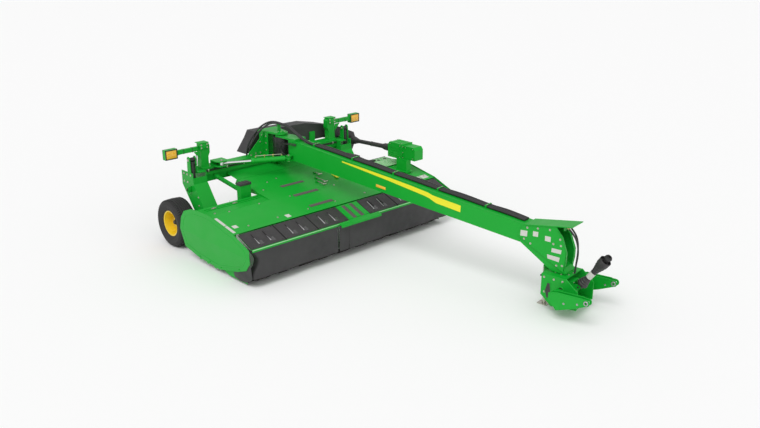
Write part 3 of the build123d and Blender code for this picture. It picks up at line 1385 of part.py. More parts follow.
# Parking jack on the rear of the hitch frame
JACK_TUBE_LOW = 200.0
JACK_LEG_TOP = 340.0
jack_tube = Pos(0, -JACK_S, JACK_TUBE_LOW) * (
    extrude(Circle(JACK_TUBE_R), HITCH_TOP - 10 - JACK_TUBE_LOW)
    - extrude(Circle(JACK_LEG_R + PIN_GAP), HITCH_TOP - 30 - JACK_TUBE_LOW)
)
jack_mount = block(
    -60, 60, -HITCH_REAR - 4, -JACK_S - JACK_LEG_R - 4, HITCH_TOP - 130, HITCH_TOP - 12
)
hitch += jack_tube + jack_mount
nodes["hitch_frame"] = hitch_place(hitch)
jack_leg = Pos(0, -JACK_S, 0) * (
    extrude(Circle(JACK_LEG_R), JACK_LEG_TOP)
    + block(-JACK_FOOT_HALF, JACK_FOOT_HALF, -JACK_FOOT_HALF, JACK_FOOT_HALF, 0, JACK_FOOT_THICK)
)
nodes["jack_leg"] = hitch_place(jack_leg)

# Swing cylinder
pivot_point = Vector(0, PIVOT_Y, 0)
lug_point = Vector(SWING_LUG_OFF, -SWING_LUG_S, 0).rotate(Axis.Z, TONGUE_DEG) + pivot_point
anchor_point = Vector(*SWING_ANCHOR, 0)
swing_line = anchor_point - lug_point
swing_length = swing_line.length
swing_turn = math.degrees(math.atan2(swing_line.Y, swing_line.X))


def swing_place(shape):
    """Move a piece from the cylinder's own line, eye to eye along X, to its place."""
    return Pos(lug_point.X, lug_point.Y, SWING_Z) * Rot(0, 0, swing_turn) * shape


barrel = rod((66, 0, 0), (SWING_BARREL_LENGTH, 0, 0), SWING_BARREL_R)
barrel += rod((20, 0, 0), (70, 0, 0), eye_half)
barrel -= rod((100, 0, 0), (SWING_BARREL_LENGTH + 1, 0, 0), SWING_ROD_R + PIN_GAP)
barrel += Pos(0, 0, -eye_half) * extrude(Circle(42), 2 * eye_half)
barrel += Pos(0, 0, -eye_half - 22) * extrude(Circle(SWING_PIN_R), 2 * eye_half + 44)
nodes["swing_barrel"] = swing_place(barrel)
swing_rod = rod((SWING_ROD_IN, 0, 0), (swing_length - 30, 0, 0), SWING_ROD_R)
swing_rod += Pos(swing_length, 0, -eye_half) * extrude(Circle(40), 2 * eye_half)
nodes["swing_rod"] = swing_place(swing_rod)

# The origin goes to the ground under the middle of the machine's box
boxes = [shape.bounding_box() for shape in nodes.values()]
x_middle = (min(box.min.X for box in boxes) + max(box.max.X for box in boxes)) / 2
y_middle = (min(box.min.Y for box in boxes) + max(box.max.Y for box in boxes)) / 2
z_low = min(box.min.Z for box in boxes)
to_origin = Pos(-x_middle, -y_middle, -z_low)

os.makedirs("parts", exist_ok=True)
for name, shape in nodes.items():
    export_step(to_origin * shape, f"parts/{name}.step")
print("origin in machine axes", round(x_middle, 3), round(y_middle, 3), round(z_low, 3))
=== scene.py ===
"""Dressed model of a pulled disc mower conditioner with a side-swinging tongue.

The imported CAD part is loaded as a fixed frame. Every new piece rides on one of
its bodies, and each finish is a procedural material.
"""

from __future__ import annotations
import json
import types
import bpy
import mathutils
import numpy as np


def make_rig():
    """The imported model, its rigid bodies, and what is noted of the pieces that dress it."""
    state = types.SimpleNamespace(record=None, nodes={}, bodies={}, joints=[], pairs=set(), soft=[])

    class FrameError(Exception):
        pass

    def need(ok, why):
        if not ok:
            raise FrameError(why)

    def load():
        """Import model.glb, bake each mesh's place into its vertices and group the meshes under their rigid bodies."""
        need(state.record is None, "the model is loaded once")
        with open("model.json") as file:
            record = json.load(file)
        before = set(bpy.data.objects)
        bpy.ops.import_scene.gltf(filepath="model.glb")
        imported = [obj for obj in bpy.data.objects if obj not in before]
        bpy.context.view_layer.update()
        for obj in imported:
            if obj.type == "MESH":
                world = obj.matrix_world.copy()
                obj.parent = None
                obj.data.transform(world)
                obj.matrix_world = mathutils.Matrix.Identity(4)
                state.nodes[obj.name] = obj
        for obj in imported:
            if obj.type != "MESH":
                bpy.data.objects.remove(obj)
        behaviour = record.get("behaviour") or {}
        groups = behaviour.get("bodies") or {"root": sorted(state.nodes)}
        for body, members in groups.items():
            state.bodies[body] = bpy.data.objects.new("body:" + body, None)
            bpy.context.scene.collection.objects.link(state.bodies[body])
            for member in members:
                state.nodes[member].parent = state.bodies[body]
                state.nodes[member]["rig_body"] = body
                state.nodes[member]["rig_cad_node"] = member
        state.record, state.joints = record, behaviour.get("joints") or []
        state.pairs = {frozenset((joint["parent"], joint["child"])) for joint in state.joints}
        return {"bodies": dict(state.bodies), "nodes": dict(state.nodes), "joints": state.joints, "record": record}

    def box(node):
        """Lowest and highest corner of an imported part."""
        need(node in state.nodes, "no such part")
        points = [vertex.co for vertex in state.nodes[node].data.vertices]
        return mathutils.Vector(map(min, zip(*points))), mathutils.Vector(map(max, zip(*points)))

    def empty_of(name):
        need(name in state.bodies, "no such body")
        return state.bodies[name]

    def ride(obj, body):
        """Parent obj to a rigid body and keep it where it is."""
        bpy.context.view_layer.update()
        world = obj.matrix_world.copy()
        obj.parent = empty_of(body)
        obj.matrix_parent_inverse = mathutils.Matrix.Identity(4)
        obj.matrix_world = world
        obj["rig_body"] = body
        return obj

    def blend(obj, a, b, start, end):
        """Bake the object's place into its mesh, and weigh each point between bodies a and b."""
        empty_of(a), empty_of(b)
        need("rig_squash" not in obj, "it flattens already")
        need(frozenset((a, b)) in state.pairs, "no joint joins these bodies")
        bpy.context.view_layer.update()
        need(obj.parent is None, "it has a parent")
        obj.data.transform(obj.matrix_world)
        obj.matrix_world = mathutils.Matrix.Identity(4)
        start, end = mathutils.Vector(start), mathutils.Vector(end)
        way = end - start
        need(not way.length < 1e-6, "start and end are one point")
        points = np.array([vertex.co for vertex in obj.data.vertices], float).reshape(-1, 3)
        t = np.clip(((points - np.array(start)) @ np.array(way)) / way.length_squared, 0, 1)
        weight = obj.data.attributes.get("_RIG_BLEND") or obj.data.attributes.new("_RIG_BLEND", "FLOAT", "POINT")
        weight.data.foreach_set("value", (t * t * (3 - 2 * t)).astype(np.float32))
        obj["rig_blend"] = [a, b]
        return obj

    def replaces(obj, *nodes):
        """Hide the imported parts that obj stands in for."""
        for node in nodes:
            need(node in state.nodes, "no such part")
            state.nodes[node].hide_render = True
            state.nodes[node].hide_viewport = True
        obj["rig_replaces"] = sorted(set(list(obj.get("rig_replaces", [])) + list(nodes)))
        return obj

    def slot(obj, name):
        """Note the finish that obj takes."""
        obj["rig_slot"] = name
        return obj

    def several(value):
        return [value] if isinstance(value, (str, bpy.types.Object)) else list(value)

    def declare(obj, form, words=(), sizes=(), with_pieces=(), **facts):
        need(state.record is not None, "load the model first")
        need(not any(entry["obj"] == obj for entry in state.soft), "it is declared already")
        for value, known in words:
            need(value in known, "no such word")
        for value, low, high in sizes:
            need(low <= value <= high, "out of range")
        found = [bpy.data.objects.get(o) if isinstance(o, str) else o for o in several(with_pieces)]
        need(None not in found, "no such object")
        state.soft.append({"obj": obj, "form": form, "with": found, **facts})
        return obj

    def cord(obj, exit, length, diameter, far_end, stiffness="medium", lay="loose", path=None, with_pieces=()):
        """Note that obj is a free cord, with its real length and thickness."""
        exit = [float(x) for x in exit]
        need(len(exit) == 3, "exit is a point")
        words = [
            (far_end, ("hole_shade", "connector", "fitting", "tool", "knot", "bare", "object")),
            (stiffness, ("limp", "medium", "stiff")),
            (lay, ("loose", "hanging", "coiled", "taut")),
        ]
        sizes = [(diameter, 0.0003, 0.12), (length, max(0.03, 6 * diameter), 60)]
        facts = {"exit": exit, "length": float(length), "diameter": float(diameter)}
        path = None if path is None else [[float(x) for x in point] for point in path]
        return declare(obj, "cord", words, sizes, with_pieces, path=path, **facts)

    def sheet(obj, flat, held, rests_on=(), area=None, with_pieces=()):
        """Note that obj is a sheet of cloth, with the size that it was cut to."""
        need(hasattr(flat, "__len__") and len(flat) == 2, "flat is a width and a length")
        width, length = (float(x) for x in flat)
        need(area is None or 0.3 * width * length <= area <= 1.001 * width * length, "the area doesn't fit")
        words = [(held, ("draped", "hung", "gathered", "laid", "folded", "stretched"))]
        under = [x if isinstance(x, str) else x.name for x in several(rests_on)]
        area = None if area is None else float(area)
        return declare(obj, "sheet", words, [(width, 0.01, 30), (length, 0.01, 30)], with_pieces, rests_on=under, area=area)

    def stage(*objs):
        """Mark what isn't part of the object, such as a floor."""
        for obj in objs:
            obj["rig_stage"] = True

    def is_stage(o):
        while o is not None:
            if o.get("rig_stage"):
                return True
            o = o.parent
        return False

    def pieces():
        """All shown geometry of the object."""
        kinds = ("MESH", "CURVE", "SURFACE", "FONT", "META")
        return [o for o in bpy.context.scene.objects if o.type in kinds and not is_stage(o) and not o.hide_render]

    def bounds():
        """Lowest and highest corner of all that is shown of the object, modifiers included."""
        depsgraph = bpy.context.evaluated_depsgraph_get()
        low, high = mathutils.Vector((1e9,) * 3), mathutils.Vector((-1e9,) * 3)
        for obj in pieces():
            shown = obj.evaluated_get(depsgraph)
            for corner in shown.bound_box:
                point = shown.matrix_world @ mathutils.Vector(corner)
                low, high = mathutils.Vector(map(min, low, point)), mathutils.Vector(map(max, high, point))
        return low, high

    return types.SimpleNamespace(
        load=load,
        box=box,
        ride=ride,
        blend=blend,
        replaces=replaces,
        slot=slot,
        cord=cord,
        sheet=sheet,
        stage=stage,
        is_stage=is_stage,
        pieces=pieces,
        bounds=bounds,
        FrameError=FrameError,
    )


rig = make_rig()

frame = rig.load()

import json
import logging
import math
from collections.abc import Sequence
from dataclasses import dataclass, field
from enum import Enum

import bpy
from mathutils import Matrix, Vector

# Short names for the types that many methods take or return.
Piece = bpy.types.Object
Tree = bpy.types.NodeTree
Socket = bpy.types.NodeSocket
Pair = tuple[float, float]
Triple = tuple[float, float, float]
Outline = Sequence[Pair]

CAD_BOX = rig.bounds()
LOG = logging.getLogger("mower")
# Directions, hands and sides that many pieces share.
UP = Vector((0, 0, 1))
ORIGIN = Vector((0, 0, 0))
HANDS = (-1, 1)
SIDES = ((1, "left"), (-1, "right"))
# Corners nearer to each other than this, in metres, are one corner.
DOUBLES = 1e-5
# How far ahead of the tongue's pivot the hitch's swivel stands, in metres.
SWIVEL_S = 5.42


class Slot(Enum):
    """The record's material slots that new pieces take their finish from."""

    GREEN = "green_paint"
    YELLOW = "yellow_paint"
    BLACK = "black_paint"
    PLASTIC = "dark_plastic"
    CURTAIN = "curtain_rubber"
    HOSE = "hose_rubber"
    TYRE = "tyre_rubber"
    STEEL = "bare_steel"
    CHROME = "chrome_rod"
    CAST = "gear_cast"
    LENS = "lamp_lens"


@dataclass(frozen=True)
class Finish:
    """One surface finish, made as a procedural material on Object coordinates.

    Attributes:
        name: The material's name.
        slot: The record's slot it belongs to.
        colour: Base colour, linear.
        worn: Colour that the mottling leans to, linear.
        mottle: How far the mottling goes towards the worn colour, 0 to 1.
        scale: Patches of mottling per metre.
        rough: Lowest and highest roughness.
        grain: Grain marks per metre for the fine relief.
        relief: Strength of the fine relief, 0 to 1.
        metal: Metallic share, 0 or 1.
        coat: Weight of the clear coat.
        sheen: Weight of the dusty sheen.
        dust: Share of pale dust that gathers low down.
        gleam: Strength of the surface's own reflection.
    """

    name: str
    slot: Slot
    colour: Triple
    worn: Triple
    mottle: float = 0.5
    scale: float = 3.0
    rough: Pair = (0.3, 0.45)
    grain: float = 900.0
    relief: float = 0.05
    metal: float = 0.0
    coat: float = 0.0
    sheen: float = 0.0
    dust: float = 0.0
    gleam: float = 0.5

    def material(self) -> bpy.types.Material:
        """Return this finish's material, made on its first use."""
        found = bpy.data.materials.get(self.name)
        if found is not None:
            return found
        made = bpy.data.materials.new(self.name)
        made.use_nodes = True
        tree = made.node_tree
        shader = tree.nodes["Principled BSDF"]
        place = tree.nodes.new("ShaderNodeTexCoord").outputs["Object"]
        patches = self._noise(tree, place, self.scale, 5.0)
        tint = tree.nodes.new("ShaderNodeMix")
        tint.data_type = "RGBA"
        tint.inputs["A"].default_value = (*self.colour, 1.0)
        tint.inputs["B"].default_value = (*self.worn, 1.0)
        tree.links.new(self._stretch(tree, patches, (0.35, 0.7), (0.0, self.mottle)), tint.inputs["Factor"])
        colour = tint.outputs["Result"]
        if self.dust > 0:
            colour = self._dusted(tree, place, colour)
        tree.links.new(colour, shader.inputs["Base Color"])
        smudges = self._noise(tree, place, self.scale * 4, 3.0)
        tree.links.new(self._stretch(tree, smudges, (0.3, 0.7), self.rough), shader.inputs["Roughness"])
        for name, value in (
            ("Metallic", self.metal), ("Specular IOR Level", self.gleam), ("Coat Weight", self.coat),
            ("Coat Roughness", 0.12), ("Sheen Weight", self.sheen),
        ):
            shader.inputs[name].default_value = value
        bump = tree.nodes.new("ShaderNodeBump")
        bump.inputs["Strength"].default_value = self.relief
        bump.inputs["Distance"].default_value = 0.001
        tree.links.new(self._noise(tree, place, self.grain, 2.0), bump.inputs["Height"])
        tree.links.new(bump.outputs["Normal"], shader.inputs["Normal"])
        return made

    def _noise(self, tree: Tree, place: Socket, scale: float, detail: float) -> Socket:
        """Add a noise pattern fixed to the object.

        Args:
            tree: The material's node tree.
            place: The object's coordinates.
            scale: Marks per metre.
            detail: Octaves of finer marks.

        Returns:
            The pattern's strength.
        """
        noise = tree.nodes.new("ShaderNodeTexNoise")
        noise.inputs["Scale"].default_value = scale
        noise.inputs["Detail"].default_value = detail
        tree.links.new(place, noise.inputs["Vector"])
        return noise.outputs["Fac"]

    def _stretch(self, tree: Tree, source: Socket, read: Pair, given: Pair) -> Socket:
        """Map a strength from one range to another.

        Args:
            tree: The material's node tree.
            source: The strength.
            read: Lowest and highest strength read.
            given: Lowest and highest value given.

        Returns:
            The mapped value.
        """
        ramp = tree.nodes.new("ShaderNodeMapRange")
        for name, value in zip(("From Min", "From Max", "To Min", "To Max"), (*read, *given)):
            ramp.inputs[name].default_value = value
        tree.links.new(source, ramp.inputs["Value"])
        return ramp.outputs["Result"]

    def _dusted(self, tree: Tree, place: Socket, colour: Socket) -> Socket:
        """Lay pale dust over the colour, most of it near the ground.

        Args:
            tree: The material's node tree.
            place: The object's coordinates.
            colour: The colour below the dust.

        Returns:
            The dusted colour.
        """
        parts = tree.nodes.new("ShaderNodeSeparateXYZ")
        tree.links.new(place, parts.inputs["Vector"])
        share = tree.nodes.new("ShaderNodeMath")
        share.operation = "MULTIPLY"
        height = self._stretch(tree, parts.outputs["Z"], (0.9, 0.05), (0.0, self.dust))
        tree.links.new(height, share.inputs[0])
        tree.links.new(self._noise(tree, place, 18.0, 6.0), share.inputs[1])
        mix = tree.nodes.new("ShaderNodeMix")
        mix.data_type = "RGBA"
        mix.inputs["B"].default_value = (0.3, 0.27, 0.21, 1.0)
        tree.links.new(share.outputs["Value"], mix.inputs["Factor"])
        tree.links.new(colour, mix.inputs["A"])
        return mix.outputs["Result"]


LEAF_GREEN = Finish(
    "leaf_green_gloss", Slot.GREEN, (0.004, 0.36, 0.026), (0.008, 0.415, 0.038),
    mottle=0.35, scale=1.2, rough=(0.34, 0.46), grain=260.0, relief=0.04, coat=0.06, gleam=0.24,
)
RIM_YELLOW = Finish(
    "rim_yellow_gloss", Slot.YELLOW, (0.86, 0.6, 0.012), (0.75, 0.48, 0.01),
    mottle=0.3, scale=6.0, rough=(0.28, 0.42), grain=260.0, coat=0.3, dust=0.1,
)
STRIPE_YELLOW = Finish(
    "stripe_yellow", Slot.YELLOW, (0.84, 0.8, 0.02), (0.78, 0.72, 0.02),
    mottle=0.2, scale=5.0, rough=(0.35, 0.5), grain=300.0, relief=0.02,
)
BLACK_GLOSS = Finish(
    "black_enamel", Slot.BLACK, (0.014, 0.014, 0.015), (0.03, 0.029, 0.028),
    scale=5.0, rough=(0.32, 0.5), grain=240.0, coat=0.15, dust=0.06,
)
MOULDED_PLASTIC = Finish(
    "moulded_plastic", Slot.PLASTIC, (0.03, 0.028, 0.03), (0.052, 0.049, 0.05),
    scale=7.0, rough=(0.42, 0.62), relief=0.18, dust=0.04,
)
CURTAIN_RUBBER = Finish(
    "curtain_rubber_sheet", Slot.CURTAIN, (0.034, 0.034, 0.035), (0.054, 0.053, 0.053),
    mottle=0.55, scale=2.4, rough=(0.55, 0.75), grain=700.0, relief=0.22, sheen=0.05, gleam=0.4,
)
HOSE_RUBBER = Finish(
    "hose_rubber", Slot.HOSE, (0.016, 0.016, 0.017), (0.034, 0.033, 0.033),
    scale=9.0, rough=(0.35, 0.55), relief=0.12,
)
TYRE_RUBBER = Finish(
    "tyre_rubber", Slot.TYRE, (0.014, 0.014, 0.015), (0.034, 0.033, 0.032),
    mottle=0.6, scale=9.0, rough=(0.55, 0.78), grain=600.0, relief=0.22, sheen=0.04, dust=0.08, gleam=0.4,
)
BARE_STEEL = Finish(
    "bare_steel", Slot.STEEL, (0.46, 0.46, 0.47), (0.3, 0.28, 0.26),
    scale=20.0, rough=(0.26, 0.45), grain=700.0, relief=0.12, metal=1.0,
)
ZINC = Finish(
    "zinc_plate", Slot.STEEL, (0.6, 0.58, 0.52), (0.46, 0.43, 0.36),
    scale=60.0, rough=(0.28, 0.42), relief=0.08, metal=1.0,
)
BRASS_FITTING = Finish(
    "yellow_zinc", Slot.STEEL, (0.62, 0.48, 0.2), (0.5, 0.42, 0.24),
    scale=60.0, rough=(0.26, 0.42), relief=0.08, metal=1.0,
)
CHROME = Finish(
    "hard_chrome", Slot.CHROME, (0.74, 0.74, 0.75), (0.66, 0.66, 0.67),
    mottle=0.2, scale=12.0, rough=(0.07, 0.14), relief=0.02, metal=1.0,
)
CAST_IRON = Finish(
    "cast_iron", Slot.CAST, (0.06, 0.06, 0.062), (0.115, 0.105, 0.095),
    mottle=0.6, scale=14.0, rough=(0.5, 0.7), grain=500.0, relief=0.35, metal=1.0, dust=0.2,
)
AMBER_LENS = Finish(
    "amber_lens", Slot.LENS, (0.92, 0.52, 0.045), (0.84, 0.36, 0.02),
    mottle=0.4, scale=40.0, rough=(0.12, 0.22), grain=140.0, relief=0.35, coat=0.6,
)
RED_LENS = Finish(
    "red_lens", Slot.LENS, (0.62, 0.018, 0.012), (0.45, 0.012, 0.01),
    mottle=0.3, scale=40.0, rough=(0.12, 0.22), grain=140.0, relief=0.3, coat=0.6,
)
GRIP_GREY = Finish(
    "grip_strip", Slot.PLASTIC, (0.09, 0.08, 0.074), (0.15, 0.135, 0.125),
    mottle=0.7, scale=60.0, rough=(0.75, 0.92), grain=420.0, relief=0.7,
)
GRIP_PAINT = Finish(
    "grip_paint", Slot.GREEN, (0.1, 0.46, 0.13), (0.62, 0.82, 0.56),
    mottle=0.9, scale=55.0, rough=(0.6, 0.8), grain=500.0, relief=0.6, gleam=0.3,
)
# Glossy green for the doors' lip bead; its pale base colour, lighter than the leaf green paint, is a painted
# highlight.
HIGHLIGHT_LIP_GREEN = Finish(
    "lip_green_painted_highlight", Slot.GREEN, (0.26, 0.6, 0.27), (0.32, 0.66, 0.33),
    mottle=0.3, scale=6.0, rough=(0.1, 0.16), grain=260.0, relief=0.02, coat=0.9,
)
WEDGE_PLASTIC = Finish(
    "polished_plastic", Slot.PLASTIC, (0.05, 0.049, 0.052), (0.08, 0.078, 0.08),
    scale=9.0, rough=(0.16, 0.26), coat=0.8,
)
# Pale grey plastic for the wedges' crest bars: a painted highlight where the light catches one edge of each wedge.
HIGHLIGHT_CREST_PLASTIC = Finish(
    "crest_painted_highlight", Slot.PLASTIC, (0.3, 0.296, 0.302), (0.36, 0.354, 0.36),
    scale=9.0, rough=(0.14, 0.22), coat=0.8,
)
# Near-black strips laid along the gaps between a door's panels; their darkness is painted shade in the gaps.
SEAM_SHADE_BLACK = Finish(
    "panel_seam_painted_shade", Slot.PLASTIC, (0.006, 0.006, 0.006), (0.009, 0.009, 0.009),
    mottle=0.3, scale=9.0, rough=(0.85, 0.95), grain=700.0,
)
PALE_PLATE = Finish(
    "bare_plate", Slot.STEEL, (0.62, 0.62, 0.58), (0.54, 0.54, 0.5),
    mottle=0.3, scale=20.0, rough=(0.35, 0.5), grain=400.0,
)


@dataclass(frozen=True)
class Axes:
    """Turns places on the machine into places in the part's own frame.

    Machine places are in metres: x to the machine's left, y back from the
    header's lip, z up. Tongue places are s ahead of the pivot, off to the left.

    Attributes:
        pivot_y: How far the tongue's pivot lies behind the header's lip.
        tongue_deg: How far the tongue is turned from straight ahead.
    """

    pivot_y: float = 1.96
    tongue_deg: float = 6.6

    def shift(self) -> float:
        """Return what is added to a machine y to get the part's y."""
        low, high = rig.box("pivot_drum")
        return (low.y + high.y) / 2 - self.pivot_y

    def turn(self, arrow: Vector) -> Vector:
        """Turn an arrow as the tongue is turned at rest."""
        return Matrix.Rotation(math.radians(self.tongue_deg), 3, "Z") @ arrow

    def across(self) -> Vector:
        """Return the direction across the tongue, to its left."""
        return self.turn(Vector((1, 0, 0)))

    def machine(self, x: float, y: float, z: float) -> Vector:
        """Return a machine place in the part's frame."""
        return Vector((x, y + self.shift(), z))

    def tongue(self, s: float, off: float, z: float) -> Vector:
        """Return a place on the tongue in the part's frame."""
        return self.turn(Vector((off, -s, z))) + self.machine(0.0, self.pivot_y, 0.0)

    def hitch(self, s: float, off: float, z: float) -> Vector:
        """Return a place on the hitch, s ahead of its swivel."""
        return self.tongue(SWIVEL_S + s, off, z)


AXES = Axes()
machine, tongue, hitch = AXES.machine, AXES.tongue, AXES.hitch


def ring(count: int, start: float = 0.0) -> list[Pair]:
    """Return the cosine and sine of evenly spaced turns, the first at start radians."""
    turns = [2 * math.pi * index / count + start for index in range(count)]
    return [(math.cos(turn), math.sin(turn)) for turn in turns]


class Bench:
    """Modelling steps with Blender's own operators, as done by hand."""

    def __init__(self) -> None:
        """Start with no piece made."""
        self.count = 0
        self.heads: dict[float, bpy.types.Mesh] = {}

    def clear(self) -> None:
        """Leave edit mode and deselect all."""
        if bpy.context.object is not None and bpy.context.object.mode != "OBJECT":
            bpy.ops.object.mode_set(mode="OBJECT")
        bpy.ops.object.select_all(action="DESELECT")

    def pick(self, obj: Piece) -> None:
        """Make a piece the only one selected, and active.

        Args:
            obj: The piece.
        """
        self.clear()
        obj.select_set(True)
        bpy.context.view_layer.objects.active = obj

    def edit(self, obj: Piece) -> None:
        """Enter edit mode on a piece with all of it selected.

        Args:
            obj: The piece.
        """
        self.pick(obj)
        bpy.ops.object.mode_set(mode="EDIT")
        bpy.ops.mesh.select_all(action="SELECT")

    def settle(self, obj: Piece) -> None:
        """Put the piece's place, turn and size into its mesh."""
        self.pick(obj)
        bpy.ops.object.transform_apply(location=True, rotation=True, scale=True)

    def bevel(self, obj: Piece, width: float, segments: int = 2) -> None:
        """Round a piece's sharp edges.

        Args:
            obj: The piece.
            width: The rounding's width, in metres.
            segments: Facets across the rounding.
        """
        self.pick(obj)
        rounding = obj.modifiers.new("rounding", "BEVEL")
        rounding.width = width
        rounding.segments = segments
        rounding.limit_method = "ANGLE"
        rounding.angle_limit = math.radians(30)
        bpy.ops.object.modifier_apply(modifier=rounding.name)

    def smooth(self, obj: Piece, degrees: float = 35.0) -> None:
        """Shade a piece smooth except at its sharp edges."""
        self.pick(obj)
        bpy.ops.object.shade_smooth_by_angle(angle=math.radians(degrees))

    def outward(self, obj: Piece) -> None:
        """Merge doubles and turn all faces outwards.

        Args:
            obj: The piece.
        """
        self.edit(obj)
        bpy.ops.mesh.remove_doubles(threshold=DOUBLES)
        bpy.ops.mesh.normals_make_consistent(inside=False)
        bpy.ops.object.mode_set(mode="OBJECT")

    def link(self, name: str, data: bpy.types.ID) -> Piece:
        """Put a mesh, a curve, a light or a camera into the scene.

        Args:
            name: Its name.
            data: What it shows.

        Returns:
            Its object, at the origin.
        """
        obj = bpy.data.objects.new(name, data)
        bpy.context.scene.collection.objects.link(obj)
        return obj

    def finish(self, obj: Piece, name: str, look: Finish, body: str = "chassis") -> Piece:
        """Name a piece, give it its finish and let it ride on a body.

        Args:
            obj: The piece.
            name: Its plain name.
            look: Its finish.
            body: The body it moves with.

        Returns:
            The piece.
        """
        self.clear()
        obj.name = name
        obj.data.name = name
        obj.data.materials.clear()
        obj.data.materials.append(look.material())
        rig.slot(obj, look.slot.value)
        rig.ride(obj, body)
        self.count += 1
        LOG.info("%s rides on %s", name, body)
        return obj

    def join(self, pieces: list[Piece]) -> Piece:
        """Join pieces of one body and finish into one mesh.

        Args:
            pieces: The pieces.

        Returns:
            The joined piece.
        """
        self.clear()
        for piece in pieces:
            piece.select_set(True)
        bpy.context.view_layer.objects.active = pieces[0]
        if len(pieces) > 1:
            bpy.ops.object.join()
        return bpy.context.view_layer.objects.active

    def group(self, pieces: list[Piece], name: str, look: Finish, body: str = "chassis") -> Piece:
        """Join pieces and finish them as one piece.

        Args:
            pieces: The pieces.
            name: The joined piece's plain name.
            look: Its finish.
            body: The body it moves with.

        Returns:
            The joined piece.
        """
        return self.finish(self.join(pieces), name, look, body)

    def box(self, middle: Vector, size: Triple, bevel: float = 0.002, turn: float = 0.0) -> Piece:
        """Add a block with rounded edges.

        Args:
            middle: Its middle, in the part's frame.
            size: Its sides.
            bevel: The width of its rounded edges.
            turn: Its turn about the upright, in radians.

        Returns:
            The block.
        """
        self.clear()
        bpy.ops.mesh.primitive_cube_add(size=1, location=middle, rotation=(0, 0, turn))
        obj = bpy.context.object
        obj.scale = size
        self.settle(obj)
        if bevel > 0:
            self.bevel(obj, bevel)
        self.smooth(obj)
        return obj

    def bar(self, start: Vector, end: Vector, radius: float, sides: int = 24, bevel: float = 0.0015) -> Piece:
        """Add a round bar from one point to another.

        Args:
            start: Middle of its first end.
            end: Middle of its last end.
            radius: Its radius.
            sides: Facets round it.
            bevel: The width of its rounded ends.

        Returns:
            The bar.
        """
        self.clear()
        run = end - start
        bpy.ops.mesh.primitive_cylinder_add(
            vertices=sides, radius=radius, depth=run.length,
            location=(start + end) / 2, rotation=UP.rotation_difference(run).to_euler(),
        )
        obj = bpy.context.object
        self.settle(obj)
        if bevel > 0:
            self.bevel(obj, bevel)
        self.smooth(obj)
        return obj

    def beads(self, line: list[Vector], radius: float = 0.0035, sides: int = 8) -> list[Piece]:
        """Lay plain bars along a line, as for a weld bead or a rolled edge.

        Args:
            line: Points that the bars join.
            radius: The bars' radius.
            sides: Facets round them.

        Returns:
            The bars.
        """
        return [self.bar(start, end, radius, sides, 0.0) for start, end in zip(line, line[1:])]

    def lathe(self, profile: Outline, centre: Vector, axis: Vector, steps: int = 48) -> Piece:
        """Spin a closed profile round an axis.

        Args:
            profile: (radius, along the axis) corners of the closed profile.
            centre: A point of the axis, from which the profile is measured.
            axis: The axis.
            steps: Facets round it.

        Returns:
            The turned piece.
        """
        self.clear()
        bpy.ops.mesh.primitive_circle_add(vertices=len(profile), fill_type="NOTHING")
        obj = bpy.context.object
        for vertex, (radius, along) in zip(obj.data.vertices, profile):
            vertex.co = (radius, 0.0, along)
        self.edit(obj)
        bpy.ops.mesh.spin(steps=steps, angle=2 * math.pi, center=(0, 0, 0), axis=(0, 0, 1))
        bpy.ops.mesh.select_all(action="SELECT")
        bpy.ops.mesh.remove_doubles(threshold=DOUBLES)
        bpy.ops.mesh.dissolve_degenerate(threshold=DOUBLES / 10)
        bpy.ops.mesh.delete_loose()
        bpy.ops.mesh.select_all(action="SELECT")
        bpy.ops.mesh.normals_make_consistent(inside=False)
        bpy.ops.object.mode_set(mode="OBJECT")
        self.stand(obj.data, centre, axis)
        self.smooth(obj)
        return obj

    def stand(self, skin: bpy.types.Mesh, place: Vector, out: Vector) -> None:
        """Move a mesh that points up to a place, pointing along out."""
        turn = UP.rotation_difference(out).to_matrix().to_4x4()
        skin.transform(Matrix.Translation(place) @ turn)

    def around(self, obj: Piece, count: int, axis: Vector) -> None:
        """Copy a piece's mesh evenly round an axis through the origin.

        Args:
            obj: The piece, which gets the copies.
            count: How many there are in all.
            axis: The axis.
        """
        self.edit(obj)
        bpy.ops.mesh.spin(
            steps=count - 1, dupli=True, angle=2 * math.pi * (count - 1) / count,
            center=(0, 0, 0), axis=tuple(axis),
        )
        bpy.ops.object.mode_set(mode="OBJECT")

    def spline(self, points: list[Vector], name: str, radius: float = 0.0) -> Piece:
        """Lay one open NURBS spline, bare or with a round skin.

        Args:
            points: Its control points.
            name: Its name.
            radius: The skin's radius, 0 for none.

        Returns:
            The spline, as a curve.
        """
        self.clear()
        curve = bpy.data.curves.new(name, "CURVE")
        curve.dimensions = "3D"
        line = curve.splines.new("NURBS")
        line.points.add(len(points) - 1)
        for knot, point in zip(line.points, points):
            knot.co = (*point, 1.0)
        line.order_u = 3
        line.use_endpoint_u = True
        line.resolution_u = 8
        curve.bevel_depth = radius
        curve.bevel_resolution = 4
        curve.use_fill_caps = radius > 0
        return self.link(name, curve)

    def hose(self, points: list[Vector], radius: float, name: str, look: Finish, body: str = "chassis") -> Piece:
        """Add a hose along one smooth line.

        Args:
            points: The line's control points.
            radius: The hose's radius.
            name: The piece's name.
            look: Its finish.
            body: The body it moves with.

        Returns:
            The hose, as a curve.
        """
        return self.finish(self.spline(points, name, radius), name, look, body)

